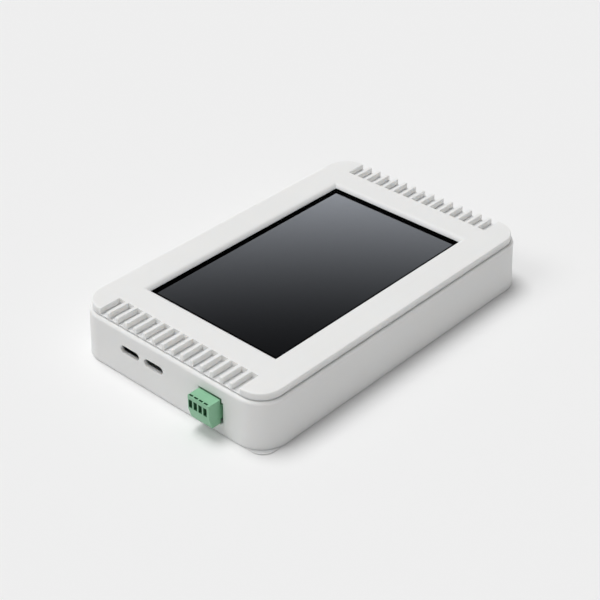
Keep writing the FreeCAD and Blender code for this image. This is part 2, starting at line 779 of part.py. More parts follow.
def make_display():
    plate("touch_glass", s.glass_length, s.glass_width, s.glass_thick, glass_foot,
          radius=s.glass_corner)
    opening = (
        s.window_length - 2 * s.bevel_run + 2 * s.gasket_margin,
        s.window_width - 2 * s.bevel_run + 2 * s.gasket_margin,
    )
    plate("glass_gasket", s.glass_length - 2 * s.gasket_margin,
          s.glass_width - 2 * s.gasket_margin, s.gasket_thick, glass_top, hole=opening)
    plate("glass_mask", s.glass_length - 2 * s.mask_margin, s.glass_width - 2 * s.mask_margin,
          s.mask_thick, glass_foot - s.mask_thick, hole=(s.active_length, s.active_width))
    plate("touch_sensor", s.sensor_length, s.sensor_width, s.sensor_thick, sensor_foot)

    inside_length = s.tray_length - 2 * s.tray_wall - 2 * s.tray_gap
    inside_width = s.tray_width - 2 * s.tray_wall - 2 * s.tray_gap
    plate("lcd_cell", inside_length, inside_width, s.cell_thick, cell_foot)
    plate("diffuser_films", inside_length, inside_width, s.film_thick, film_foot)
    guide_width = inside_width - s.led_strip_width - s.tray_gap
    guide_y = (inside_width - guide_width) / 2
    plate("light_guide", inside_length, guide_width, s.guide_thick, guide_foot, y=guide_y)
    plate("backlight_strip", s.active_length, s.led_strip_width, s.guide_thick, guide_foot,
          y=-(inside_width - s.led_strip_width) / 2)

    tray = new_body("backlight_tray")
    outline = sketch_on(tray, "tray_outline")
    draw_round_rect(outline, s.tray_length, s.tray_width, s.tray_corner)
    pad(tray, outline, sensor_foot - tray_foot)
    hollow = sketch_on(tray, "tray_hollow", offset=s.tray_wall)
    draw_centred_rect(hollow, s.tray_length - 2 * s.tray_wall, s.tray_width - 2 * s.tray_wall)
    pocket(tray, hollow, sensor_foot - tray_foot, along_normal=True)
    place(tray, z=tray_foot)
    node(tray, "backlight_tray")

    for i, (x, y) in enumerate(corners(s.clip_post_x, clip_post_y), start=1):
        label = f"display_clip_{i}"
        side = 1 if y.value > 0 else -1
        clip = new_body(label)
        strip = sketch_on(clip, label + "_strip")
        outer_y = clip_post_y + s.clip_post_radius
        inner_y = s.tray_width / 2 - s.clip_bite
        draw_centred_rect(strip, s.clip_width, outer_y - inner_y, y=side * (outer_y + inner_y) / 2)
        draw_circle(strip, s.small_screw_radius + s.screw_gap, 0, side * clip_post_y)
        pad(clip, strip, s.clip_thick)
        place(clip, x=x, z=clip_foot)
        node(clip, label)


# Main board

def make_main_board():
    body = new_body("main_board")
    outline = sketch_on(body, "board_outline")
    middle_x = board_length / 2
    draw_round_rect(outline, board_length, board_width, s.board_corner, x=middle_x)
    for x, y in corners(board_post_x, board_post_y):
        draw_circle(outline, s.small_screw_radius + s.screw_gap, x - board_x, y)
    for pole_y in poles_y:
        leg_x = header_back_x - s.pin_leg_x - board_x
        draw_circle(outline, s.pin_side * 0.75 + s.pin_gap, leg_x, pole_y)
    pad(body, outline, s.board_thick)
    place(body, x=board_x, z=board_foot)
    node(body, "main_board")


# Parts soldered under the board; a leg pitch runs along X

CHIPS = {
    "memory_chip": {"x": 22.0, "y": 14.0, "length": 5.3, "width": 5.3, "high": 1.9,
                    "leg_count": 4, "leg_pitch": 1.27},
    "bridge_chip": {"x": -52.0, "y": 6.0, "length": 6.0, "width": 4.0, "high": 1.6,
                    "leg_count": 5, "leg_pitch": 1.0},
    "bus_chip": {"x": -52.0, "y": -22.0, "length": 5.0, "width": 4.0, "high": 1.6,
                 "leg_count": 4, "leg_pitch": 1.27},
    "regulator_chip": {"x": -38.0, "y": 20.0, "length": 3.0, "width": 3.0, "high": 1.1,
                       "leg_count": 3, "leg_pitch": 0.95},
    "clock_crystal": {"x": 22.0, "y": -6.0, "length": 5.0, "width": 3.2, "high": 1.0,
                      "leg_count": 1, "leg_pitch": 1.0},
}
LEG = {"width": 0.4, "reach": 0.9, "lift": 0.1}


def make_chip(label, chip):
    x, y, high = chip["x"], chip["y"], chip["high"]
    pieces = [box(label + "_body", chip["length"], chip["width"], high - LEG["lift"],
                  x - chip["length"] / 2, y, board_foot - high)]
    first_x = x - (chip["leg_count"] - 1) * chip["leg_pitch"] / 2 - LEG["width"] / 2
    for i in range(chip["leg_count"]):
        pieces.append(
            box(f"{label}_leg_{i}", LEG["width"], chip["width"] + 2 * LEG["reach"], high / 2,
                first_x + i * chip["leg_pitch"], y, board_foot - high / 2)
        )
    node(fuse(label, pieces), label)


RADIO = {"x": 55.0, "length": 25.5, "width": 18.0, "board": 0.8, "edge": 1.0,
         "can_length": 17.6, "can_width": 15.8, "can_high": 2.4, "can_wall": 0.3}
COIL = {"x": -24.0, "y": 20.0, "side": 7.0, "high": 4.2, "corner": 1.6}
CAPS = {"x": -12.0, "y": 24.0, "pitch": -9.0, "radius": 3.15, "high": 5.4, "base": 6.6,
        "base_high": 0.8}


def make_board_parts():
    for label, chip in CHIPS.items():
        make_chip(label, chip)

    radio_x = RADIO["x"] - RADIO["length"] / 2
    node(box("radio_board", RADIO["length"], RADIO["width"], RADIO["board"],
             radio_x, 0, board_foot - RADIO["board"]), "radio_board")
    can_foot = board_foot - RADIO["board"] - RADIO["can_high"]
    can = box("radio_can", RADIO["can_length"], RADIO["can_width"], RADIO["can_high"],
              radio_x + RADIO["edge"], 0, can_foot)
    wall = RADIO["can_wall"]
    hollow = box("radio_can_hollow", RADIO["can_length"] - 2 * wall,
                 RADIO["can_width"] - 2 * wall, RADIO["can_high"] - wall,
                 radio_x + RADIO["edge"] + wall, 0, can_foot + wall)
    node(cut("radio_shield", can, [hollow]), "radio_shield")

    coil = new_body("power_inductor")
    outline = sketch_on(coil, "coil_outline")
    draw_round_rect(outline, COIL["side"], COIL["side"], COIL["corner"])
    pad(coil, outline, COIL["high"])
    place(coil, COIL["x"], COIL["y"], board_foot - COIL["high"])
    node(coil, "power_inductor")

    for i in range(2):
        label = f"bulk_capacitor_{i + 1}"
        y = CAPS["y"] + i * CAPS["pitch"]
        base = box(label + "_base", CAPS["base"], CAPS["base"], CAPS["base_high"],
                   CAPS["x"] - CAPS["base"] / 2, y, board_foot - CAPS["base_high"])
        can = cylinder(label + "_can", CAPS["radius"], CAPS["high"],
                       CAPS["x"], y, board_foot - CAPS["base_high"] - CAPS["high"])
        node(fuse(label, [base, can]), label)


# Charging and data ports

def make_ports():
    shell_x = s.shell_setback - inner_length / 2
    for i, port_y in enumerate(ports_y, start=1):
        label = f"usb_shell_{i}"
        shell = new_body(label)
        outline = sketch_on(shell, label + "_outline", role="YZ_Plane")
        hollow = sketch_on(shell, label + "_hollow", role="YZ_Plane")
        for sketch, inset in ((outline, 0), (hollow, s.shell_wall)):
            draw_round_rect(
                sketch, s.shell_width - 2 * inset, s.shell_height - 2 * inset,
                s.shell_height / 2 - inset - s.oval_flat,
            )
        pad(shell, outline, s.shell_length)
        pocket(shell, hollow, s.shell_length - s.shell_wall, along_normal=True)
        place(shell, shell_x, port_y, port_z)
        node(shell, label)

        label = f"usb_tongue_{i}"
        tongue = new_body(label)
        blade = sketch_on(tongue, label + "_blade", role="YZ_Plane")
        draw_centred_rect(blade, s.tongue_width, s.tongue_thick)
        pad(tongue, blade, s.tongue_length + s.tongue_base)
        base = sketch_on(tongue, label + "_base", role="YZ_Plane", offset=s.tongue_length)
        inset = s.shell_wall + s.tongue_gap
        draw_round_rect(
            base, s.shell_width - 2 * inset, s.shell_height - 2 * inset,
            s.shell_height / 2 - inset - s.oval_flat,
        )
        pad(tongue, base, s.tongue_base)
        back_x = shell_x + s.shell_length - s.shell_wall
        place(tongue, back_x - s.tongue_length - s.tongue_base, port_y, port_z)
        node(tongue, label)


# Terminal header under the board, with one bent pin for each pole

def make_header():
    middle_y = s.terminal_y
    block = box("header_block", header_back_x - header_face_x, s.header_width, s.header_height,
                header_face_x, middle_y, header_foot)
    tools = [
        box("header_cavity", s.cavity_depth, s.header_width - 2 * s.header_wall,
            s.header_height - 2 * s.header_wall, header_x, middle_y,
            header_foot + s.header_wall)
    ]
    leg_x = header_back_x - s.pin_leg_x
    side = s.pin_side + 2 * s.pin_gap
    pins = []
    for i, pole_y in enumerate(poles_y, start=1):
        tip_x = header_x + s.pin_front_gap
        blade = box(f"pin_blade_{i}", leg_x + s.pin_side / 2 - tip_x, s.pin_side, s.pin_side,
                    tip_x, pole_y, pin_z - s.pin_side / 2)
        leg = box(f"pin_leg_{i}", s.pin_side, s.pin_side,
                  board_top + s.pin_through - pin_z, leg_x - s.pin_side / 2, pole_y, pin_z)
        pins.append(fuse(f"header_pin_{i}", [blade, leg]))
        tools.append(box(f"pin_tunnel_{i}", leg_x + side / 2 - header_x, side, side,
                         header_x, pole_y, pin_z - side / 2))
        tools.append(box(f"leg_tunnel_{i}", side, side, board_foot - pin_z,
                         leg_x - side / 2, pole_y, pin_z))
    node(cut("terminal_header", block, tools), "terminal_header")
    node(fuse("header_pins", pins), "header_pins")


# Pull-off plug: body, nose that closes its back, contact bars, cages and screws

def make_plug_body():
    body = new_body("plug_body")
    side_view = sketch_on(body, "plug_side", role="XZ_Plane")
    draw_outline(side_view, [
        (plug_front_x + s.plug_slope_run, plug_foot),
        (plug_back_x, plug_foot),
        (plug_back_x, plug_top),
        (plug_front_x, plug_top),
        (plug_front_x, plug_foot + s.plug_slope_height),
    ])
    made = pad(body, side_view, s.plug_width)
    made.Midplane = True
    place(body, y=s.terminal_y)

    shafts = sketch_on(body, "cage_shafts", role="XY_Plane", offset=shaft_foot)
    entries = sketch_on(body, "wire_entries", role="XY_Plane", offset=entry_top_z)
    probes = sketch_on(body, "probe_slots", role="XY_Plane", offset=plug_top)
    heads = sketch_on(body, "screw_recesses", role="XY_Plane", offset=plug_foot)
    necks = sketch_on(body, "screw_necks", role="XY_Plane", offset=plug_foot)
    for pole_y in poles_y:
        y = pole_y - s.terminal_y
        half = s.cage_width / 2 + s.cage_gap
        draw_rect(shafts, cage_x - s.cage_gap, plug_back_x, y - half, y + half)
        draw_rect(entries, plug_front_x, cage_x, y - s.entry_width / 2, y + s.entry_width / 2)
        probe_x = plug_front_x + s.probe_edge
        draw_rect(probes, probe_x, probe_x + s.probe_length,
                  y - s.probe_width / 2, y + s.probe_width / 2)
        draw_circle(heads, s.clamp_head_radius + s.turn_gap, clamp_x, y)
        draw_circle(necks, s.clamp_screw_radius + s.turn_gap, clamp_x, y)
    pocket(body, shafts, shaft_top - shaft_foot, along_normal=True)
    pocket(body, entries, s.entry_height, along_normal=False)
    pocket(body, probes, plug_top - entry_top_z + s.probe_edge, along_normal=False)
    pocket(body, heads, s.clamp_head_recess + s.clamp_head_height, along_normal=True)
    pocket(body, necks, shaft_foot - plug_foot, along_normal=True)
    node(body, "plug_body")


def make_plug_inside():
    nose_width = s.header_width - 2 * s.header_wall - 2 * s.nose_gap
    nose_foot = header_foot + s.header_wall + s.nose_gap
    nose_height = s.header_height - 2 * s.header_wall - 2 * s.nose_gap
    pieces = [box("nose_block", s.nose_length, nose_width, nose_height,
                  plug_back_x, s.terminal_y, nose_foot)]
    channels = []
    bars = []
    channel_foot = pin_z - s.pin_side / 2 - 2 * s.pin_gap
    channel_top = bar_foot + s.bar_thick + s.bar_gap
    tongue_x = cage_back_x + s.cage_gap
    for i, pole_y in enumerate(poles_y, start=1):
        pieces.append(box(f"nose_tongue_{i}", plug_back_x - tongue_x, s.cage_width,
                          shaft_top - shaft_foot - 2 * s.cage_gap, tongue_x, pole_y,
                          shaft_foot + s.cage_gap))
        channels.append(box(f"nose_channel_{i}", plug_back_x + s.nose_length - tongue_x,
                            s.bar_width + 2 * s.bar_gap, channel_top - channel_foot,
                            tongue_x, pole_y, channel_foot))
        bar_x = cage_x + s.bar_gap
        bars.append(box(f"contact_bar_{i}", plug_back_x + s.nose_length - s.pin_front_gap - bar_x,
                        s.bar_width, s.bar_thick, bar_x, pole_y, bar_foot))
    node(cut("plug_nose", fuse("nose_solid", pieces), channels), "plug_nose")
    node(fuse("plug_contacts", bars), "plug_contacts")


def make_clamps():
    screw_top = cage_window_foot - s.turn_gap
    head_foot = plug_foot + s.clamp_head_recess
    for i, pole_y in enumerate(poles_y, start=1):
        label = f"clamp_cage_{i}"
        block = box(label + "_block", s.cage_length, s.cage_width, cage_height,
                    cage_x, pole_y, cage_foot_z)
        window = box(label + "_window", s.cage_length, s.cage_width - 2 * s.cage_side,
                     s.cage_window, cage_x, pole_y, cage_window_foot)
        thread = cylinder(label + "_thread", s.clamp_screw_radius + s.turn_gap, s.cage_foot,
                          clamp_x, pole_y, cage_foot_z)
        node(cut(label, block, [window, thread]), label)

        label = f"clamp_screw_{i}"
        head = cylinder(label + "_head", s.clamp_head_radius, s.clamp_head_height,
                        clamp_x, pole_y, head_foot)
        shank = cylinder(label + "_shank", s.clamp_screw_radius, screw_top - head_foot,
                         clamp_x, pole_y, head_foot)
        slot = box(label + "_slot", 2 * s.clamp_head_radius, s.drive_width / 2,
                   s.drive_depth / 2, clamp_x - s.clamp_head_radius, pole_y, head_foot)
        node(cut(label, fuse(label + "_solid", [head, shank]), [slot]), label)


# Flat cables that fold round the tray's end, and the sockets they enter

def make_flex(label, width, y, top_foot, start_x, bend_x):
    radius = (top_foot - flex_slot_foot) / 2
    middle_z = flex_slot_foot + radius + s.flex_thick / 2
    outer, inner = radius + s.flex_thick / 2, radius - s.flex_thick / 2
    turn_y = y - as_size(width) / 2
    bend = cut(
        label + "_bend",
        cylinder(label + "_outer", outer, width, bend_x, turn_y, middle_z, AXIS_Y),
        [
            cylinder(label + "_inner", inner, width, bend_x, turn_y, middle_z, AXIS_Y),
            box(label + "_half", outer, width, 2 * outer, bend_x - outer, y, middle_z - outer),
        ],
    )
    upper = box(label + "_upper", bend_x - start_x, width, s.flex_thick, start_x, y, top_foot)
    inside_x = s.socket_x + s.socket_length - s.socket_slot
    lower = box(label + "_lower", bend_x - inside_x, width, s.flex_thick, inside_x, y,
                flex_slot_foot)
    node(fuse(label, [upper, bend, lower]), label)


def make_socket(label, width, y):
    block = box(label + "_block", s.socket_length, width + 2 * s.socket_margin, s.socket_height,
                s.socket_x, y, board_top)
    gap = s.socket_slot_gap
    slot = box(label + "_slot", s.socket_slot, width + 2 * gap, s.flex_thick + 2 * gap,
               s.socket_x + s.socket_length - s.socket_slot, y,
               flex_slot_foot - gap)
    node(cut(label, block, [slot]), label)


def make_cables():
    start_x = s.sensor_length / 2 + s.tray_gap
    make_flex("lcd_flex", s.lcd_flex_width, 0, sensor_foot, start_x, flex_bend_x)
    make_socket("lcd_socket", s.lcd_flex_width, 0)
    make_flex("touch_flex", s.touch_flex_width, s.touch_flex_y, touch_flex_foot,
              s.sensor_length / 2, flex_bend_x)
    make_socket("touch_socket", s.touch_flex_width, s.touch_flex_y)


make_front_cover()
make_main_housing()
make_back_plate()
make_fasteners()
make_display()
make_main_board()
make_board_parts()
make_ports()
make_header()
make_plug_body()
make_plug_inside()
make_clamps()
make_cables()
doc.recompute()


# Checks before anything is written

def check_model():
    for made in doc.Objects:
        if "Invalid" in made.State or "Error" in made.State:
            raise RuntimeError(f"{made.Label} did not compute: {made.State}")
    for made in doc.Objects:
        if made.TypeId == "PartDesign::Pocket":
            base = made.BaseFeature.Shape.Volume
            if made.Shape.Volume > base - 0.01:
                raise RuntimeError(f"{made.Label} cuts nothing")
    labels = [made.Label for made in NODES]
    if len(set(labels)) != len(labels):
        raise RuntimeError("two nodes share a label")
    for made in NODES:
        shape = made.Shape
        if shape.isNull() or not shape.isValid() or not shape.Solids:
            raise RuntimeError(f"{made.Label} has no valid solid")


check_model()
os.makedirs("parts", exist_ok=True)
for made in NODES:
    made.Shape.exportStep(f"parts/{made.Label}.step")
    print(f"{made.Label}: {len(made.Shape.Solids)} solid(s), {made.Shape.Volume:.2f} mm3")
print(len(NODES), "nodes written")
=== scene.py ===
import bmesh
import bpy
import math
from mathutils import Matrix, Vector


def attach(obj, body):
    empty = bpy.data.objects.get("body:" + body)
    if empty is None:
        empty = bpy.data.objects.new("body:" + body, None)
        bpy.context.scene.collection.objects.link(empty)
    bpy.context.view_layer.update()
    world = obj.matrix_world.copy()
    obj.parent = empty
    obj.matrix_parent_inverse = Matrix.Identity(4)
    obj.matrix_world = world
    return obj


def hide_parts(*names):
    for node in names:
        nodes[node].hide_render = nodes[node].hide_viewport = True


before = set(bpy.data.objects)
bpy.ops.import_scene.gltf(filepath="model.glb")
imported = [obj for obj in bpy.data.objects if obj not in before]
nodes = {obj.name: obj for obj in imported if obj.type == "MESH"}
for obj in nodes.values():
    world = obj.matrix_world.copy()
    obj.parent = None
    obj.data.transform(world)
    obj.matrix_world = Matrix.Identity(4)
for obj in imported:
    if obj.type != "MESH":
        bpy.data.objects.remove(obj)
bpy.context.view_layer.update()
scene = bpy.context.scene
mm = 0.001              # pieces are modelled in millimetres and made metres at the end
past = 1.0              # mm that a cutter stands out of what it cuts
closeEnough = 0.001     # mm within which two places count as the same


# camera, from the photo's vanishing lines

cameraShot = {
    "place": (-368.15, -332.54, 339.18),
    "heading": 47.494,          # degrees from +Y towards +X
    "drop": 33.838,             # degrees below the horizon
    "roll": -0.2,
    "lens": 86.123,
}


def makeCamera(shot):
    data = bpy.data.cameras.new("camera")
    data.lens = shot["lens"]
    data.sensor_width = 36
    data.clip_start = 0.01
    camera = bpy.data.objects.new("camera", data)
    scene.collection.objects.link(camera)
    heading, drop = math.radians(shot["heading"]), math.radians(shot["drop"])
    sight = Vector((
        math.sin(heading) * math.cos(drop), math.cos(heading) * math.cos(drop), -math.sin(drop)
    ))
    turn = sight.to_track_quat("-Z", "Y").to_matrix().to_4x4()
    roll = Matrix.Rotation(math.radians(shot["roll"]), 4, "Z")
    camera.matrix_world = Matrix.Translation(Vector(shot["place"]) * mm) @ turn @ roll
    scene.camera = camera


makeCamera(cameraShot)
print("camera set")


# materials

def linear(hexColour):
    # sRGB hex to the linear values that shaders take
    parts = [int(hexColour[i:i + 2], 16) / 255 for i in (1, 3, 5)]
    return [p / 12.92 if p <= 0.04045 else ((p + 0.055) / 1.055) ** 2.4 for p in parts] + [1.0]


def addNode(tree, kind, inputs=None, links=None, **settings):
    made = tree.nodes.new(kind)
    for name, value in settings.items():
        setattr(made, name, value)
    for name, value in (inputs or {}).items():
        made.inputs[name].default_value = value
    for name, source in (links or {}).items():
        tree.links.new(source, made.inputs[name])
    return made


def blankMaterial(name):
    material = bpy.data.materials.new(name)
    material.use_nodes = True
    material.node_tree.nodes.clear()
    return material, material.node_tree


def finishMaterial(tree, shader):
    addNode(tree, "ShaderNodeOutputMaterial", links={"Surface": shader.outputs["BSDF"]})


def mouldedPlastic(name, plastic):
    # moulded surface: a fine even grain from the tool, a faint tone drift where the melt flowed,
    # and a sheen that is a little uneven
    sheenSpread = 0.04
    material, tree = blankMaterial(name)
    place = addNode(tree, "ShaderNodeTexCoord").outputs["Object"]
    drift = addNode(
        tree, "ShaderNodeTexNoise",
        inputs={"Scale": 1 / (plastic["drift"] * mm), "Detail": 3.0, "Roughness": 0.55},
        links={"Vector": place},
    )
    tone = addNode(
        tree, "ShaderNodeMapRange",
        inputs={"From Min": 0.3, "From Max": 0.7, "To Min": 0.0, "To Max": 1.0},
        links={"Value": drift.outputs["Fac"]},
    )
    colour = addNode(
        tree, "ShaderNodeMix", data_type="RGBA",
        inputs={"A": linear(plastic["colour"]), "B": linear(plastic["drifted"])},
        links={"Factor": tone.outputs["Result"]},
    )
    grain = addNode(
        tree, "ShaderNodeTexNoise",
        inputs={"Scale": 1 / (plastic["grain"] * mm), "Detail": 2.0, "Roughness": 0.6},
        links={"Vector": place},
    )
    sheen = addNode(
        tree, "ShaderNodeMapRange",
        inputs={
            "From Min": 0.3, "From Max": 0.7,
            "To Min": plastic["roughness"] - sheenSpread,
            "To Max": plastic["roughness"] + sheenSpread,
        },
        links={"Value": grain.outputs["Fac"]},
    )
    bump = addNode(
        tree, "ShaderNodeBump",
        inputs={"Strength": plastic["bump"], "Distance": plastic["depth"] * mm},
        links={"Height": grain.outputs["Fac"]},
    )
    shader = addNode(
        tree, "ShaderNodeBsdfPrincipled",
        inputs={
            "IOR": plastic["ior"],
            "Specular IOR Level": plastic.get("gloss", 0.5),
            "Subsurface Weight": plastic.get("milky", 0.0),
            "Subsurface Radius": (1.0, 0.95, 0.9),
            "Subsurface Scale": plastic.get("depthOfLight", 0.5) * mm,
        },
        links={
            "Base Color": colour.outputs["Result"],
            "Roughness": sheen.outputs["Result"],
            "Normal": bump.outputs["Normal"],
        },
    )
    finishMaterial(tree, shader)
    return material


def sheetMetal(name, metal):
    # rolled, drawn, turned or plated metal: fine lines along the way it was worked,
    # and a soft uneven gloss
    glossSpread = 0.06
    material, tree = blankMaterial(name)
    place = addNode(tree, "ShaderNodeTexCoord").outputs["Object"]
    stretched = addNode(
        tree, "ShaderNodeMapping", inputs={"Scale": metal["stretch"]}, links={"Vector": place}
    )
    lines = addNode(
        tree, "ShaderNodeTexNoise",
        inputs={"Scale": 1 / (metal["line"] * mm), "Detail": 3.0, "Roughness": 0.6},
        links={"Vector": stretched.outputs["Vector"]},
    )
    colour = addNode(
        tree, "ShaderNodeMix", data_type="RGBA",
        inputs={"A": linear(metal["colour"]), "B": linear(metal["tarnish"])},
        links={"Factor": lines.outputs["Fac"]},
    )
    gloss = addNode(
        tree, "ShaderNodeMapRange",
        inputs={
            "To Min": metal["roughness"] - glossSpread, "To Max": metal["roughness"] + glossSpread,
        },
        links={"Value": lines.outputs["Fac"]},
    )
    bump = addNode(
        tree, "ShaderNodeBump",
        inputs={"Strength": 0.15, "Distance": 0.01 * mm},
        links={"Height": lines.outputs["Fac"]},
    )
    shader = addNode(
        tree, "ShaderNodeBsdfPrincipled",
        inputs={"Metallic": 1.0},
        links={
            "Base Color": colour.outputs["Result"],
            "Roughness": gloss.outputs["Result"],
            "Normal": bump.outputs["Normal"],
        },
    )
    finishMaterial(tree, shader)
    return material


def clearSheet(name, sheet):
    # clear sheet: smooth, with a faint tint and a little dust that dulls it in places
    material, tree = blankMaterial(name)
    place = addNode(tree, "ShaderNodeTexCoord").outputs["Object"]
    dust = addNode(
        tree, "ShaderNodeTexNoise",
        inputs={"Scale": 1 / (sheet["dust"] * mm), "Detail": 4.0, "Roughness": 0.5},
        links={"Vector": place},
    )
    haze = addNode(
        tree, "ShaderNodeMapRange",
        inputs={
            "From Min": 0.4, "From Max": 0.8,
            "To Min": sheet["roughness"], "To Max": sheet["roughness"] + sheet["haze"],
        },
        links={"Value": dust.outputs["Fac"]},
    )
    shader = addNode(
        tree, "ShaderNodeBsdfPrincipled",
        inputs={
            "Base Color": linear(sheet["colour"]),
            "IOR": sheet["ior"],
            "Specular IOR Level": sheet["gloss"],
            "Transmission Weight": sheet["clear"],
            "Alpha": sheet["alpha"],
        },
        links={"Roughness": haze.outputs["Result"]},
    )
    finishMaterial(tree, shader)
    return material


def panelSurface(name, panel):
    # switched-off screen: black behind a film that mirrors softly, with the faint dark mesh
    # of the black matrix, drawn far coarser than its real 0.05 mm
    meshLine = 0.08         # share of a cell
    material, tree = blankMaterial(name)
    place = addNode(tree, "ShaderNodeTexCoord").outputs["Object"]
    mesh = addNode(
        tree, "ShaderNodeTexBrick",
        inputs={
            "Color1": linear(panel["colour"]),
            "Color2": linear(panel["second"]),
            "Mortar": linear(panel["matrix"]),
            "Scale": 1 / (panel["cell"] * mm),
            "Mortar Size": meshLine,
            "Brick Width": 1.0,
            "Row Height": 1.0,
        },
        links={"Vector": place},
        offset=0.0,
    )
    ripple = addNode(
        tree, "ShaderNodeTexNoise",
        inputs={"Scale": 1 / (panel["ripple"] * mm), "Detail": 1.0},
        links={"Vector": place},
    )
    bump = addNode(
        tree, "ShaderNodeBump",
        inputs={"Strength": 0.02, "Distance": 0.01 * mm},
        links={"Height": ripple.outputs["Fac"]},
    )
    shader = addNode(
        tree, "ShaderNodeBsdfPrincipled",
        inputs={
            "Roughness": panel["roughness"],
            "IOR": panel["ior"],
            "Specular IOR Level": panel["gloss"],
            "Specular Tint": linear(panel["tint"]),
        },
        links={"Base Color": mesh.outputs["Color"], "Normal": bump.outputs["Normal"]},
    )
    finishMaterial(tree, shader)
    return material


def boardLaminate(name, board):
    # glass-cloth laminate under solder mask: the weave shows faintly through the lacquer
    wavesPerScale = 20      # a wave texture has about so many bands to a scale of one
    material, tree = blankMaterial(name)
    place = addNode(tree, "ShaderNodeTexCoord").outputs["Object"]
    threads = [
        addNode(
            tree, "ShaderNodeTexWave", bands_direction=way,
            inputs={"Scale": 1 / (board["weave"] * mm) / wavesPerScale, "Distortion": 0.4},
            links={"Vector": place},
        )
        for way in ("X", "Y")
    ]
    weave = addNode(
        tree, "ShaderNodeMath", operation="MULTIPLY",
        links={i: thread.outputs["Fac"] for i, thread in enumerate(threads)},
    )
    colour = addNode(
        tree, "ShaderNodeMix", data_type="RGBA",
        inputs={"A": linear(board["colour"]), "B": linear(board["thread"])},
        links={"Factor": weave.outputs["Value"]},
    )
    bump = addNode(
        tree, "ShaderNodeBump",
        inputs={"Strength": 0.1, "Distance": 0.02 * mm},
        links={"Height": weave.outputs["Value"]},
    )
    shader = addNode(
        tree, "ShaderNodeBsdfPrincipled",
        inputs={"Roughness": 0.35, "IOR": 1.55},
        links={"Base Color": colour.outputs["Result"], "Normal": bump.outputs["Normal"]},
    )
    finishMaterial(tree, shader)
    return material


# ABS, injection moulded in a lightly sparked tool: nearly white, satin, with a fine grain,
# and milky enough for thin ribs to glow a little
whiteAbs = mouldedPlastic("mouldedWhiteAbs", {
    "colour": "#EEEEED", "drifted": "#EBEBEA", "drift": 60.0, "grain": 0.35, "depth": 0.03,
    "bump": 0.12, "roughness": 0.5, "ior": 1.54, "milky": 0.8, "depthOfLight": 1.5,
})
# polyamide 66, injection moulded: matt leaf green with a fine sparked grain
greenPolyamide = mouldedPlastic("mouldedGreenPolyamide", {
    "colour": "#8FC5A0", "drifted": "#88BE99", "drift": 6.0, "grain": 0.3, "depth": 0.03,
    "bump": 0.15, "roughness": 0.42, "ior": 1.53,
})
# the same polyamide, left rough inside the openings and painted darker there as their shade: deep
# bottle green
shadedGreenPolyamide = mouldedPlastic("paintedShadeGreenPolyamide", {
    "colour": "#3E7A53", "drifted": "#38704B", "drift": 6.0, "grain": 0.3, "depth": 0.05,
    "bump": 0.3, "roughness": 0.7, "ior": 1.53,
})
# liquid crystal polymer, moulded: dense black with flow marks
blackPolymer = mouldedPlastic("mouldedBlackPolymer", {
    "colour": "#1B1B1C", "drifted": "#232324", "drift": 3.0, "grain": 0.2, "depth": 0.02,
    "bump": 0.2, "roughness": 0.4, "ior": 1.6,
})
# epoxy moulding compound on chips: dark grey and matt
chipEpoxy = mouldedPlastic("mouldedChipEpoxy", {
    "colour": "#202124", "drifted": "#292A2D", "drift": 2.0, "grain": 0.15, "depth": 0.02,
    "bump": 0.3, "roughness": 0.55, "ior": 1.55,
})
# pressed ferrite powder: mid grey, dull and slightly speckled
ferritePowder = mouldedPlastic("pressedFerrite", {
    "colour": "#3A3A3D", "drifted": "#4A4A4C", "drift": 1.0, "grain": 0.25, "depth": 0.03,
    "bump": 0.4, "roughness": 0.65, "ior": 1.6,
})
# acetal, moulded: milky white clips with a waxy sheen
naturalAcetal = mouldedPlastic("mouldedNaturalAcetal", {
    "colour": "#E3E1DA", "drifted": "#DAD8D0", "drift": 8.0, "grain": 0.3, "depth": 0.02,
    "bump": 0.1, "roughness": 0.35, "ior": 1.48,
})
# closed-cell polyurethane foam tape: black and velvety
foamTape = mouldedPlastic("dieCutFoamTape", {
    "colour": "#141414", "drifted": "#1E1E1E", "drift": 2.0, "grain": 0.4, "depth": 0.1,
    "bump": 0.6, "roughness": 0.9, "ior": 1.45,
})
# black ink, screen printed on the back of the glass, so it has no gloss of its own: jet black,
# with the mesh's faint grain
printedInk = mouldedPlastic("screenPrintedBlackInk", {
    "colour": "#030303", "drifted": "#050505", "drift": 10.0, "grain": 0.3, "depth": 0.005,
    "bump": 0.05, "roughness": 0.5, "ior": 1.5, "gloss": 0.0,
})
# microporous polyester film: paper white and even
diffuserFilm = mouldedPlastic("milkyPolyesterFilm", {
    "colour": "#EDEDEA", "drifted": "#E4E4E0", "drift": 15.0, "grain": 0.3, "depth": 0.01,
    "bump": 0.1, "roughness": 0.6, "ior": 1.5,
})
# silicone phosphor on the light strip: egg-yolk yellow and soft
phosphorSilicone = mouldedPlastic("castPhosphorSilicone", {
    "colour": "#E8C860", "drifted": "#E0BC4C", "drift": 4.0, "grain": 0.3, "depth": 0.02,
    "bump": 0.1, "roughness": 0.45, "ior": 1.42,
})
# polyimide film with copper inside: amber, smooth and slightly wavy
polyimideFilm = mouldedPlastic("laminatedPolyimide", {
    "colour": "#B9742A", "drifted": "#A5621F", "drift": 5.0, "grain": 0.8, "depth": 0.02,
    "bump": 0.2, "roughness": 0.3, "ior": 1.6,
})
# zinc plated steel: cool grey with a bluish passivation
zincSteel = sheetMetal("zincPlatedSteel", {
    "colour": "#C3C6CB", "tarnish": "#AEB3BA", "line": 0.2, "stretch": (1, 1, 1),
    "roughness": 0.34,
})
# tinned steel sheet, rolled: pale silver with fine rolling lines
tinnedSheet = sheetMetal("rolledTinnedSteel", {
    "colour": "#CDCFD1", "tarnish": "#B9BBBE", "line": 0.15, "stretch": (0.05, 1, 1),
    "roughness": 0.3,
})
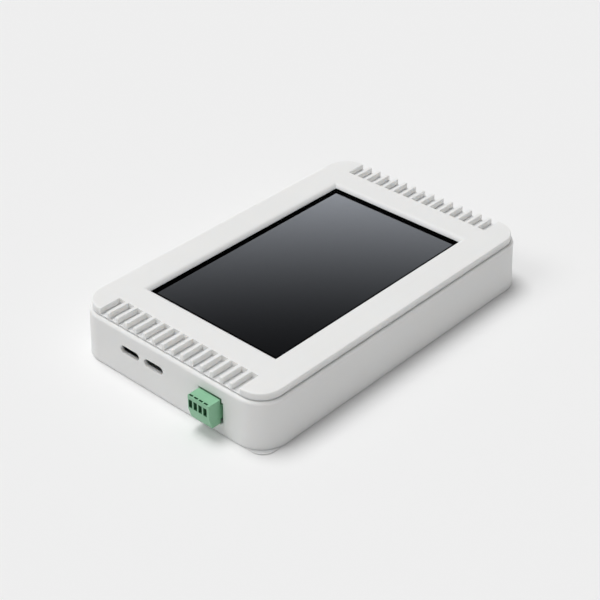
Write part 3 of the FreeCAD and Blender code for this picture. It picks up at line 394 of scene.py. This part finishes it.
# drawn stainless steel: slightly darker, smooth along the draw
drawnStainless = sheetMetal("drawnStainlessSteel", {
    "colour": "#B4B4B3", "tarnish": "#9C9C9B", "line": 0.12, "stretch": (0.05, 1, 1),
    "roughness": 0.28,
})
# tin plated brass contacts: soft warm silver
tinnedBrass = sheetMetal("tinPlatedBrass", {
    "colour": "#9A968C", "tarnish": "#857F71", "line": 0.1, "stretch": (0.1, 1, 1),
    "roughness": 0.32,
})
# turned and knurled brass: yellow, with turning lines
turnedBrass = sheetMetal("turnedBrass", {
    "colour": "#D8B45C", "tarnish": "#B98F3C", "line": 0.1, "stretch": (1, 1, 0.05),
    "roughness": 0.3,
})
# deep drawn aluminium can: bright and even
drawnAluminium = sheetMetal("drawnAluminium", {
    "colour": "#DADCDE", "tarnish": "#C4C7CA", "line": 0.15, "stretch": (1, 1, 0.1),
    "roughness": 0.27,
})
# soda-lime cover glass with an anti-reflection coat: clear, so the black border stays black
coatedGlass = clearSheet("coatedSodaLimeGlass", {
    "colour": "#0A0B0C", "dust": 3.0, "roughness": 0.03, "haze": 0.03, "ior": 1.52,
    "gloss": 0.25, "clear": 0.0, "alpha": 0.03,
})
# conductive polyester film bonded to the dark panel: it carries the soft mirror of the screen
sensorFilm = panelSurface("bondedPolyesterFilm", {
    "colour": "#0B0B0D", "second": "#0A0A0C", "matrix": "#070708", "cell": 0.45, "ripple": 25.0,
    "roughness": 0.02, "ior": 2.4, "gloss": 1.0, "tint": "#EFF5FF",
})
# cast acrylic: water clear, with a softly frosted face
castAcrylic = clearSheet("castAcrylic", {
    "colour": "#F4F8F8", "dust": 1.0, "roughness": 0.15, "haze": 0.15, "ior": 1.49,
    "gloss": 0.5, "clear": 0.9, "alpha": 1.0,
})
# liquid crystal panel, switched off, with its polariser film: black under a soft mirror
offPanel = panelSurface("switchedOffPanel", {
    "colour": "#0B0B0C", "second": "#0A0A0B", "matrix": "#070708", "cell": 0.45, "ripple": 25.0,
    "roughness": 0.04, "ior": 2.2, "gloss": 1.0, "tint": "#FFFFFF",
})
# glass-cloth epoxy laminate with green solder mask: satin, with a trace of the weave
greenLaminate = boardLaminate("lacqueredLaminate", {
    "colour": "#1F6A45", "thread": "#2A7A52", "weave": 1.2,
})

materialGroups = [
    (offPanel, ["lcd_cell"]),
    (diffuserFilm, ["diffuser_films"]),
    (castAcrylic, ["light_guide"]),
    (phosphorSilicone, ["backlight_strip"]),
    (tinnedSheet, ["backlight_tray", "radio_shield"]),
    (naturalAcetal, [f"display_clip_{i}" for i in range(1, 5)]),
    (zincSteel, ["clip_screws", "board_screws"] + [f"clamp_screw_{i}" for i in range(1, 5)]),
    (turnedBrass, ["case_inserts"]),
    (greenLaminate, ["main_board", "radio_board"]),
    (chipEpoxy, ["memory_chip", "bridge_chip", "bus_chip", "regulator_chip"]),
    (ferritePowder, ["power_inductor"]),
    (drawnAluminium, ["bulk_capacitor_1", "bulk_capacitor_2"]),
    (drawnStainless, ["clock_crystal", "usb_shell_1", "usb_shell_2"]),
    (blackPolymer, ["lcd_socket", "touch_socket", "usb_tongue_1", "usb_tongue_2"]),
    (polyimideFilm, ["lcd_flex", "touch_flex"]),
    (greenPolyamide, ["terminal_header", "plug_nose"]),
    (tinnedBrass, ["header_pins", "plug_contacts"] + [f"clamp_cage_{i}" for i in range(1, 5)]),
]


def coat(piece, material):
    piece.data.materials.clear()
    piece.data.materials.append(material)


for material, nodeNames in materialGroups:
    for nodeName in nodeNames:
        coat(nodes[nodeName], material)
print("materials made and set on", sum(len(names) for _, names in materialGroups), "nodes")


# mesh helpers, all in millimetres

def vertsIn(geometry):
    return [item for item in geometry if isinstance(item, bmesh.types.BMVert)]


def roundedSlab(bm, length, width, radius, low, high, centre=(0, 0), segments=16):
    # rectangle with round corners, drawn up from low to high
    corners = bmesh.ops.create_grid(bm, x_segments=1, y_segments=1, size=0.5)["verts"]
    bmesh.ops.scale(bm, vec=(length, width, 1), verts=corners)
    bmesh.ops.translate(bm, vec=(centre[0], centre[1], low), verts=corners)
    face = corners[0].link_faces[0]
    if radius:
        rounded = bmesh.ops.bevel(
            bm, geom=corners, offset=radius, offset_type="OFFSET", affect="VERTICES",
            segments=segments, profile=0.5, material=-1,
        )
        face = rounded["verts"][0].link_faces[0]
    lifted = vertsIn(bmesh.ops.extrude_face_region(bm, geom=[face])["geom"])
    bmesh.ops.translate(bm, vec=(0, 0, high - low), verts=lifted)
    return lifted


def drawOn(bm, ring, rise):
    # draws the face inside a ring further up, and leaves no wall where it was
    def ringFaces():
        return [face for face in bm.faces if all(vert in ring for vert in face.verts)]

    lifted = vertsIn(bmesh.ops.extrude_face_region(bm, geom=ringFaces())["geom"])
    bmesh.ops.translate(bm, vec=(0, 0, rise), verts=lifted)
    bmesh.ops.delete(bm, geom=ringFaces(), context="FACES")


def roundRod(bm, radius, low, high, centre, segments=32):
    made = bmesh.ops.create_cone(
        bm, cap_ends=True, segments=segments, radius1=radius, radius2=radius, depth=high - low
    )["verts"]
    bmesh.ops.translate(bm, vec=(centre[0], centre[1], (low + high) / 2), verts=made)
    return made


def block(bm, low, high):
    made = bmesh.ops.create_cube(bm, size=1)["verts"]
    bmesh.ops.scale(bm, vec=[b - a for a, b in zip(low, high)], verts=made)
    bmesh.ops.translate(bm, vec=[(a + b) / 2 for a, b in zip(low, high)], verts=made)
    return made


def bevelEdges(bm, chosen, width, segments):
    edges = [edge for edge in bm.edges if chosen(edge)]
    bmesh.ops.bevel(
        bm, geom=edges, offset=width, offset_type="OFFSET", affect="EDGES",
        segments=segments, profile=0.5, material=-1,
    )


def levelAt(height):
    return lambda edge: all(abs(vert.co.z - height) < closeEnough for vert in edge.verts)


def solidFrom(bm, name):
    bmesh.ops.recalc_face_normals(bm, faces=bm.faces)
    mesh = bpy.data.meshes.new(name)
    bm.to_mesh(mesh)
    bm.free()
    made = bpy.data.objects.new(name, mesh)
    scene.collection.objects.link(made)
    return made


def reopen(piece):
    bm = bmesh.new()
    bm.from_mesh(piece.data)
    return bm


def putBack(bm, piece):
    bm.to_mesh(piece.data)
    bm.free()


def bake(piece):
    # turns the piece's modifiers into plain mesh
    graph = bpy.context.evaluated_depsgraph_get()
    mesh = bpy.data.meshes.new_from_object(piece.evaluated_get(graph))
    piece.modifiers.clear()
    piece.data = mesh


def carve(piece, cutter, operation="DIFFERENCE"):
    boolean = piece.modifiers.new("carve", "BOOLEAN")
    boolean.operation = operation
    boolean.solver = "EXACT"
    boolean.object = cutter
    bake(piece)
    bpy.data.objects.remove(cutter)


def soften(piece, width):
    # breaks the edges of 35 degrees and more, as a moulding tool does
    bevel = piece.modifiers.new("edges", "BEVEL")
    bevel.width = width
    bevel.segments = 2
    bevel.limit_method = "ANGLE"
    bevel.angle_limit = math.radians(35)
    bevel.use_clamp_overlap = False
    bevel.miter_outer = "MITER_SHARP"
    bake(piece)


def finishPiece(piece, material, body, replaced):
    # edges of 40 degrees and more stay sharp in the shading
    piece.data.transform(Matrix.Scale(mm, 4))
    piece.data.shade_smooth()
    piece.data.set_sharp_from_angle(angle=math.radians(40))
    weighted = piece.modifiers.new("shading", "WEIGHTED_NORMAL")
    weighted.keep_sharp = True
    bake(piece)
    coat(piece, material)
    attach(piece, body)
    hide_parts(*replaced)


def signs():
    # the four quarters, for whatever stands at each corner
    return [(x, y) for x in (-1, 1) for y in (-1, 1)]


# front cover

cover = {
    "length": 158.6, "width": 98.9, "corner": 10.25,
    "top": 24.9, "foot": 21.4, "edgeRound": 0.5,
    "seatGap": 0.4, "seatInset": 0.35,
    "window": (115.6, 71.8), "windowFoot": (112.1, 68.3), "windowRound": 0.9, "lipFoot": 23.3,
    "glassPocket": (121.2, 76.5, 2.0),
    "grooveCount": 15, "groovePitch": 5.16, "grooveWidth": 3.6, "grooveFloor": 22.3,
    "grooveStart": 69.2, "grooveEnd": 0.3,
    "skirt": (156.9, 97.2, 9.4), "skirtFoot": 19.4, "skirtThick": 1.2,
    # reliefs for the ribbons: middle y and width
    "reliefs": [(0.0, 26.2), (27.0, 8.2)], "reliefReach": (58.6, 62.15), "reliefTop": 21.7,
    # posts at each quarter: x, y, radius and foot
    "posts": [(71.5, 41.65, 4.0, 3.8), (66.0, 32.5, 3.0, 16.15), (35.0, 40.0, 2.3, 18.0)],
    "join": 0.1, "skirtJoin": 0.05,     # how far the seat, posts and skirt reach up into the rest
    "softEdge": 0.16,
}


def cutWindow(piece, cover):
    # a sloped lip from the window's foot to its rim, with the rim rounded over
    bm = bmesh.new()
    sliver = 0.01           # the cut starts this far inside the glass pocket
    rim = roundedSlab(bm, *cover["windowFoot"], 0, cover["lipFoot"] - sliver, cover["top"])
    grow = [a / b for a, b in zip(cover["window"], cover["windowFoot"])]
    bmesh.ops.scale(bm, vec=(*grow, 1), verts=rim)
    drawOn(bm, rim, 2 * past)
    carve(piece, solidFrom(bm, "windowCut"))
    bm = reopen(piece)
    atTop, reach = levelAt(cover["top"]), cover["window"][0] / 2 + past
    bevelEdges(
        bm, lambda edge: atTop(edge) and all(abs(vert.co.x) < reach for vert in edge.verts),
        cover["windowRound"], 4,
    )
    putBack(bm, piece)


def cutPocket(piece, cover):
    bm = bmesh.new()
    roundedSlab(bm, *cover["glassPocket"], cover["foot"] - past, cover["lipFoot"], segments=6)
    carve(piece, solidFrom(bm, "pocketCut"))


def cutGrooves(piece, cover):
    bm = bmesh.new()
    firstY = -(cover["grooveCount"] - 1) * cover["groovePitch"] / 2
    near, far = cover["grooveStart"], cover["length"] / 2 + 2 * past
    for side in (-1, 1):
        for i in range(cover["grooveCount"]):
            roundedSlab(
                bm, far - near, cover["grooveWidth"], cover["grooveEnd"],
                cover["grooveFloor"], cover["top"] + 2 * past,
                centre=(side * (near + far) / 2, firstY + i * cover["groovePitch"]), segments=3,
            )
    carve(piece, solidFrom(bm, "grooveCuts"))


def makeSeat(cover):
    # what lies below the joint line: the seat on the housing and the skirt inside it
    inset = cover["seatInset"]
    bm = bmesh.new()
    roundedSlab(
        bm, cover["length"] - 2 * inset, cover["width"] - 2 * inset,
        cover["corner"] - inset, cover["foot"], cover["foot"] + cover["seatGap"] + cover["join"],
    )
    seat = solidFrom(bm, "coverSeat")
    bm = bmesh.new()
    roundedSlab(bm, *cover["skirt"], cover["skirtFoot"], cover["foot"] + cover["skirtJoin"])
    skirt = solidFrom(bm, "coverSkirt")
    bm = bmesh.new()
    length, width, radius = cover["skirt"]
    thick = cover["skirtThick"]
    roundedSlab(
        bm, length - 2 * thick, width - 2 * thick, radius - thick,
        cover["skirtFoot"] - past, cover["foot"],
    )
    carve(skirt, solidFrom(bm, "skirtInside"))
    carve(seat, skirt, "UNION")
    cutPocket(seat, cover)
    bm = bmesh.new()
    for y, width in cover["reliefs"]:
        block(
            bm, (cover["reliefReach"][0], y - width / 2, cover["foot"] - past),
            (cover["reliefReach"][1], y + width / 2, cover["reliefTop"]),
        )
    carve(seat, solidFrom(bm, "ribbonReliefs"))
    return seat


def makeCover(cover):
    bm = bmesh.new()
    roundedSlab(
        bm, cover["length"], cover["width"], cover["corner"],
        cover["foot"] + cover["seatGap"], cover["top"], segments=20,
    )
    bevelEdges(bm, levelAt(cover["top"]), cover["edgeRound"], 8)
    piece = solidFrom(bm, "frontCover")
    cutWindow(piece, cover)
    cutPocket(piece, cover)
    cutGrooves(piece, cover)
    soften(piece, cover["softEdge"])

    bm = reopen(piece)
    seat = makeSeat(cover)
    bm.from_mesh(seat.data)
    bpy.data.objects.remove(seat)
    for x, y, radius, foot in cover["posts"]:
        for sideX, sideY in signs():
            roundRod(
                bm, radius, foot, cover["foot"] + cover["join"], (sideX * x, sideY * y)
            )
    putBack(bm, piece)
    finishPiece(piece, whiteAbs, "case", ["front_cover"])


makeCover(cover)
print("front cover made")


# glass, its black border, the touch film and the foam ring, close under the window's lip

windowSheets = {
    "coverGlass": {
        "size": (120.7, 76.0, 1.7), "span": (22.4, 23.1), "material": coatedGlass,
        "slot": "cover_glass", "node": "touch_glass",
    },
    "blackBorder": {
        "size": (119.9, 75.2, 1.3), "span": (22.3, 22.4), "hole": (108.6, 65.2, 0.3),
        "material": printedInk, "slot": "mask_ink", "node": "glass_mask",
    },
    "touchFilm": {
        "size": (114.0, 71.0, 0.8), "span": (21.3, 22.3), "material": sensorFilm,
        "slot": "sensor_film", "node": "touch_sensor",
    },
    "foamRing": {
        "size": (119.7, 75.0, 1.2), "span": (23.1, 23.3), "hole": (113.4, 69.6, 0.5),
        "material": foamTape, "slot": "foam", "node": "glass_gasket",
    },
}


def makeSheet(name, sheet):
    bm = bmesh.new()
    low, high = sheet["span"]
    roundedSlab(bm, *sheet["size"], low, high, segments=8)
    piece = solidFrom(bm, name)
    if "hole" in sheet:
        bm = bmesh.new()
        roundedSlab(bm, *sheet["hole"], low - past, high + past, segments=4)
        carve(piece, solidFrom(bm, name + "Hole"))
    finishPiece(piece, sheet["material"], "case", [sheet["node"]])


for sheetName, sheet in windowSheets.items():
    makeSheet(sheetName, sheet)
print("glass, border, film and foam made")


# main housing

housing = {
    "foot": (162.8, 103.1, 12.35), "rim": (161.5, 101.8, 11.7), "inside": (157.3, 97.6, 9.6),
    "low": 0.45, "waist": 18.4, "high": 21.4, "rimRound": 1.35,
    "slots": [6.85, 20.25], "slotLength": 10.5, "slotHeight": 3.4, "slotLevel": 12.92,
    "slotSkin": 1.7, "slotPocket": (12.6, 5.4), "cutReach": (-3, 5),
    "headerOpening": ((-30.67, 5.5), (-17.07, 14.8)),
    "plugOpening": ((-29.87, 4.75), (-17.87, 16.5)),
    "ribs": [-45.0, 0.0, 45.0], "ribThick": 1.2, "ribDepth": 1.4, "ribSpan": (2.2, 18.8),
    "ribJoin": 0.5, "softEdge": 0.2,
}


def makeHousing(housing):
    bm = bmesh.new()
    waist = roundedSlab(bm, *housing["foot"], housing["low"], housing["waist"], segments=20)
    shrink = [a / b for a, b in zip(housing["rim"][:2], housing["foot"][:2])]
    bmesh.ops.scale(bm, vec=(*shrink, 1), verts=waist)
    drawOn(bm, waist, housing["high"] - housing["waist"])
    bevelEdges(bm, levelAt(housing["high"]), housing["rimRound"], 8)
    piece = solidFrom(bm, "mainHousing")

    bm = bmesh.new()
    roundedSlab(bm, *housing["inside"], housing["low"] - past, housing["high"] + past)
    carve(piece, solidFrom(bm, "housingInside"))

    # slots and openings in the wall at -X
    bm = bmesh.new()
    wallX = -housing["foot"][0] / 2
    climb = (housing["slotLevel"] - housing["low"]) / (housing["waist"] - housing["low"])
    wallLean = climb * (housing["foot"][0] - housing["rim"][0]) / 2
    outer, inner = housing["cutReach"]
    turn = Matrix.Rotation(math.radians(90), 3, "Y")
    slotRound = housing["slotHeight"] / 2 - 0.01    # a hair under half, so that no points meet
    for y in housing["slots"]:
        before = set(bm.verts)
        roundedSlab(
            bm, housing["slotHeight"], housing["slotLength"], slotRound,
            outer, inner, segments=12,
        )
        made = [vert for vert in bm.verts if vert not in before]
        bmesh.ops.rotate(bm, cent=(0, 0, 0), matrix=turn, verts=made)
        bmesh.ops.translate(bm, vec=(wallX, y, housing["slotLevel"]), verts=made)
    carve(piece, solidFrom(bm, "slotCuts"))
    # the wall is thinned from inside round each port, so its opening looks deep and dark
    bm = bmesh.new()
    pocketLength, pocketHeight = housing["slotPocket"]
    for y in housing["slots"]:
        block(
            bm, (wallX + wallLean + housing["slotSkin"], y - pocketLength / 2,
                 housing["slotLevel"] - pocketHeight / 2),
            (wallX + inner, y + pocketLength / 2, housing["slotLevel"] + pocketHeight / 2),
        )
    carve(piece, solidFrom(bm, "slotPockets"))
    for low, high in (housing["headerOpening"], housing["plugOpening"]):
        bm = bmesh.new()
        block(bm, (wallX + outer, *low), (wallX + inner, *high))
        carve(piece, solidFrom(bm, "openingCut"))
    soften(piece, housing["softEdge"])

    bm = reopen(piece)
    wallY = housing["inside"][1] / 2
    for x in housing["ribs"]:
        for side in (-1, 1):
            ends = sorted((
                side * (wallY - housing["ribDepth"]), side * (wallY + housing["ribJoin"])
            ))
            block(
                bm, (x - housing["ribThick"] / 2, ends[0], housing["ribSpan"][0]),
                (x + housing["ribThick"] / 2, ends[1], housing["ribSpan"][1]),
            )
    putBack(bm, piece)
    finishPiece(piece, whiteAbs, "case", ["main_housing"])


makeHousing(housing)
print("main housing made")


# back plate

backPlate = {
    "flange": (162.3, 102.6), "rim": 0.45, "underCut": 0.36,
    "keyCorner": 6.0, "otherCorners": 11.9,     # only the corner at -X -Y stands out
    "step": (156.9, 97.2, 9.4), "thick": 2.0,
    "boss": (71.5, 41.65), "bossRadius": 5.0, "bossTop": 3.8,
    "holeRadius": 1.7, "headRadius": 3.1, "headDepth": 2.3,
    "softEdge": 0.12,
}


def makeBackPlate(plate):
    bm = bmesh.new()
    endX, endY = plate["flange"][0] / 2, plate["flange"][1] / 2
    block(bm, (-endX, -endY, 0), (endX, endY, plate["rim"]))

    def squareCorner(edge):
        # an upright edge at a corner that isn't rounded yet
        low, high = (vert.co for vert in edge.verts)
        upright = (low.xy - high.xy).length < closeEnough
        atEnd = abs(low.x) > endX - closeEnough and abs(low.y) > endY - closeEnough
        return upright and atEnd

    bevelEdges(
        bm, lambda edge: squareCorner(edge) and max(edge.verts[0].co.xy) < 0,
        plate["keyCorner"], 14,
    )
    bevelEdges(bm, squareCorner, plate["otherCorners"], 14)
    bevelEdges(bm, levelAt(0), plate["underCut"], 1)
    piece = solidFrom(bm, "backPlate")
    bm = bmesh.new()
    roundedSlab(bm, *plate["step"], plate["rim"] / 2, plate["thick"], segments=14)
    carve(piece, solidFrom(bm, "plateStep"), "UNION")
    bm = bmesh.new()
    for sideX, sideY in signs():
        roundRod(
            bm, plate["bossRadius"], plate["rim"], plate["bossTop"],
            (sideX * plate["boss"][0], sideY * plate["boss"][1]),
        )
    carve(piece, solidFrom(bm, "plateBosses"), "UNION")
    bores = (
        (plate["holeRadius"], plate["bossTop"] + past), (plate["headRadius"], plate["headDepth"]),
    )
    for radius, high in bores:
        bm = bmesh.new()
        for sideX, sideY in signs():
            roundRod(
                bm, radius, -past, high, (sideX * plate["boss"][0], sideY * plate["boss"][1])
            )
        carve(piece, solidFrom(bm, "plateBores"))
    soften(piece, plate["softEdge"])
    finishPiece(piece, whiteAbs, "case", ["back_plate"])


makeBackPlate(backPlate)
print("back plate made")


# case screws, with a rounded cheese head and a cross recess

caseScrew = {
    "places": (71.5, 41.65), "headFoot": 0.3, "headHeight": 2.0, "headRadius": 2.8,
    "headRound": 0.5, "shankRadius": 1.45, "shankTop": 9.3, "crossWidth": 0.7,
    "crossLength": 3.2, "crossDepth": 1.1, "crossTaper": 0.55, "join": 0.05,
}


def makeCaseScrews(screw):
    bm = bmesh.new()
    headTop = screw["headFoot"] + screw["headHeight"]
    roundRod(bm, screw["headRadius"], screw["headFoot"], headTop, (0, 0), 48)
    bevelEdges(bm, levelAt(screw["headFoot"]), screw["headRound"], 5)
    head = solidFrom(bm, "caseScrews")
    long, wide = screw["crossLength"] / 2, screw["crossWidth"] / 2
    for x, y in ((long, wide), (wide, long)):
        bm = bmesh.new()
        arm = block(
            bm, (-x, -y, screw["headFoot"] - past),
            (x, y, screw["headFoot"] + screw["crossDepth"]),
        )
        deep = [vert for vert in arm if vert.co.z > screw["headFoot"]]
        bmesh.ops.scale(bm, vec=(screw["crossTaper"], screw["crossTaper"], 1), verts=deep)
        carve(head, solidFrom(bm, "crossCut"))
    bm = reopen(head)
    roundRod(bm, screw["shankRadius"], headTop - screw["join"], screw["shankTop"], (0, 0))
    one = bm.verts[:] + bm.edges[:] + bm.faces[:]
    first, *others = [(screw["places"][0] * x, screw["places"][1] * y, 0) for x, y in signs()]
    for place in others:
        copied = bmesh.ops.duplicate(bm, geom=one)["geom"]
        bmesh.ops.translate(bm, vec=place, verts=vertsIn(copied))
    bmesh.ops.translate(bm, vec=first, verts=vertsIn(one))
    putBack(bm, head)
    finishPiece(head, zincSteel, "case", ["case_screws"])


makeCaseScrews(caseScrew)
print("case screws made")


# pull-off terminal plug

plug = {
    "front": -86.85, "back": -80.9, "foot": 5.2, "top": 16.05, "middle": -23.87, "width": 11.1,
    "slopeTop": 9.9, "slopeRun": 1.35,
    "poles": [-27.31, -24.77, -22.23, -19.69],
    "entryWidth": 1.8, "entrySpan": (10.65, 14.25), "shaftX": -85.33,
    "shaftWidth": 2.04, "shaftSpan": (7.43, 14.67),
    "probeX": (-86.6, -85.8), "probeWidth": 1.9, "probeFoot": 13.6,
    "screwX": -83.76, "recessRadius": 1.01, "recessTop": 6.6, "neckRadius": 0.74,
    "join": 0.1, "entryJoin": 0.2,      # how far the screw necks and wire entries open the shafts
    "softEdge": 0.12, "skin": 0.15,
}


def makePlug(plug):
    bm = bmesh.new()
    half = plug["width"] / 2
    outline = [
        (plug["front"] + plug["slopeRun"], plug["foot"]), (plug["back"], plug["foot"]),
        (plug["back"], plug["top"]), (plug["front"], plug["top"]),
        (plug["front"], plug["slopeTop"]),
    ]
    side = bm.faces.new([bm.verts.new((x, plug["middle"] - half, z)) for x, z in outline])
    moved = vertsIn(bmesh.ops.extrude_face_region(bm, geom=[side])["geom"])
    bmesh.ops.translate(bm, vec=(0, plug["width"], 0), verts=moved)
    piece = solidFrom(bm, "plugBody")

    def openings(width, lowX, highX, span):
        cuts = bmesh.new()
        for y in plug["poles"]:
            block(cuts, (lowX, y - width / 2, span[0]), (highX, y + width / 2, span[1]))
        carve(piece, solidFrom(cuts, "plugCuts"))

    openings(plug["shaftWidth"], plug["shaftX"], plug["back"] + past, plug["shaftSpan"])
    screwHoles = (
        (plug["recessRadius"], plug["recessTop"]),
        (plug["neckRadius"], plug["shaftSpan"][0] + plug["join"]),
    )
    for radius, top in screwHoles:
        bm = bmesh.new()
        for y in plug["poles"]:
            roundRod(bm, radius, plug["foot"] - past, top, (plug["screwX"], y), 24)
        carve(piece, solidFrom(bm, "screwHoles"))
    soften(piece, plug["softEdge"])
    # the openings in the front and the top keep crisp rims
    entryEnd = plug["shaftX"] + plug["entryJoin"]
    openings(plug["entryWidth"], plug["front"] - past, entryEnd, plug["entrySpan"])
    openings(plug["probeWidth"], *plug["probeX"], (plug["probeFoot"], plug["top"] + past))
    finishPiece(piece, greenPolyamide, "plug", ["plug_body"])
    # faces below the outer skin are the insides of the openings: they get the rougher polyamide,
    # painted darker as their shade
    piece.data.materials.append(shadedGreenPolyamide)
    skin = plug["skin"]
    slope = plug["slopeRun"] / (plug["slopeTop"] - plug["foot"])
    for face in piece.data.polygons:
        x, y, z = face.center / mm
        frontX = plug["front"] + max(0.0, plug["slopeTop"] - z) * slope
        inside = (
            frontX + skin < x < plug["back"] - skin and abs(y - plug["middle"]) < half - skin
            and plug["foot"] + skin < z < plug["top"] - skin
        )
        if inside:
            face.material_index = 1


makePlug(plug)
print("plug body made")


# floor, light and backdrop

studio = {
    "floorSeen": "#F3F3F3", "floorBounce": "#EEEEEE", "floorSize": 6.0, "floorMottle": 3.0,
    "backdrop": "#EFEFEF", "fill": 0.34,
    "lamps": {
        "softKey": {"power": 1.63, "tilt": 17.0, "heading": 0.0, "spread": 28.0},
        "sideFill": {"power": 0.52, "tilt": 43.0, "heading": -62.0, "spread": 30.0},
    },
    # what mirrors and glass see: degrees above the floor where the backdrop starts to darken
    # and where it has ended
    "mirrorFoot": 29.6, "mirrorTop": 37.4, "mirrorBright": 1.0, "mirrorDark": 0.02,
    "mirrorCurve": 3.0,
}


def makeFloor(studio):
    # the camera sees it as pale as the backdrop, and it throws back less light than that
    bm = bmesh.new()
    bmesh.ops.create_grid(bm, x_segments=1, y_segments=1, size=studio["floorSize"] / 2)
    floor = solidFrom(bm, "floor")
    material, tree = blankMaterial("paintedFloor")
    place = addNode(tree, "ShaderNodeTexCoord").outputs["Object"]
    mottle = addNode(
        tree, "ShaderNodeTexNoise", inputs={"Scale": studio["floorMottle"], "Detail": 2.0},
        links={"Vector": place},
    )
    roughness = addNode(
        tree, "ShaderNodeMapRange", inputs={"To Min": 0.85, "To Max": 0.95},
        links={"Value": mottle.outputs["Fac"]},
    )
    ray = addNode(tree, "ShaderNodeLightPath")
    colour = addNode(
        tree, "ShaderNodeMix", data_type="RGBA",
        inputs={"A": linear(studio["floorBounce"]), "B": linear(studio["floorSeen"])},
        links={"Factor": ray.outputs["Is Camera Ray"]},
    )
    shader = addNode(
        tree, "ShaderNodeBsdfPrincipled",
        inputs={"Specular IOR Level": 0.0},
        links={"Base Color": colour.outputs["Result"], "Roughness": roughness.outputs["Result"]},
    )
    finishMaterial(tree, shader)
    coat(floor, material)


def makeLamp(name, lamp):
    data = bpy.data.lights.new(name, "SUN")
    data.energy = lamp["power"]
    data.angle = math.radians(lamp["spread"])
    sun = bpy.data.objects.new(name, data)
    scene.collection.objects.link(sun)
    tilt, heading = math.radians(lamp["tilt"]), math.radians(lamp["heading"])
    towards = Vector((
        math.sin(heading) * math.sin(tilt), math.cos(heading) * math.sin(tilt), math.cos(tilt)
    ))
    sun.rotation_mode = "QUATERNION"
    sun.rotation_quaternion = towards.to_track_quat("Z", "Y")


def makeWorld(studio):
    # even fill for the surfaces; mirrors and glass see the pale backdrop low down
    # and the dark of the room above it
    world = bpy.data.worlds.new("studio")
    scene.world = world
    world.use_nodes = True
    tree = world.node_tree
    tree.nodes.clear()
    way = addNode(tree, "ShaderNodeTexCoord").outputs["Generated"]
    parts = addNode(tree, "ShaderNodeSeparateXYZ", links={"Vector": way})
    angle = addNode(
        tree, "ShaderNodeMath", operation="ARCSINE", links={0: parts.outputs["Z"]}
    )
    fade = addNode(
        tree, "ShaderNodeMapRange",
        inputs={
            "From Min": math.radians(studio["mirrorFoot"]),
            "From Max": math.radians(studio["mirrorTop"]),
            "To Min": 1.0, "To Max": 0.0,
        },
        links={"Value": angle.outputs["Value"]},
    )
    curve = addNode(
        tree, "ShaderNodeMath", operation="POWER", inputs={1: studio["mirrorCurve"]},
        links={0: fade.outputs["Result"]},
    )
    room = addNode(
        tree, "ShaderNodeMapRange",
        inputs={"To Min": studio["mirrorDark"], "To Max": studio["mirrorBright"]},
        links={"Value": curve.outputs["Value"]},
    )
    ray = addNode(tree, "ShaderNodeLightPath")
    mirrored = addNode(
        tree, "ShaderNodeMath", operation="MAXIMUM",
        links={0: ray.outputs["Is Glossy Ray"], 1: ray.outputs["Is Transmission Ray"]},
    )
    fill = addNode(
        tree, "ShaderNodeBackground",
        inputs={"Color": (1, 1, 1, 1), "Strength": studio["fill"]},
    )
    reflected = addNode(
        tree, "ShaderNodeBackground", inputs={"Color": (1, 1, 1, 1)},
        links={"Strength": room.outputs["Result"]},
    )
    seen = addNode(
        tree, "ShaderNodeBackground",
        inputs={"Color": linear(studio["backdrop"]), "Strength": 1.0},
    )
    soft = addNode(
        tree, "ShaderNodeMixShader",
        links={0: mirrored.outputs["Value"], 1: fill.outputs[0], 2: reflected.outputs[0]},
    )
    both = addNode(
        tree, "ShaderNodeMixShader",
        links={0: ray.outputs["Is Camera Ray"], 1: soft.outputs[0], 2: seen.outputs[0]},
    )
    addNode(tree, "ShaderNodeOutputWorld", links={"Surface": both.outputs[0]})


makeFloor(studio)
for lampName, lamp in studio["lamps"].items():
    makeLamp(lampName, lamp)
makeWorld(studio)
scene.view_settings.view_transform = "Standard"
print("floor and light made")
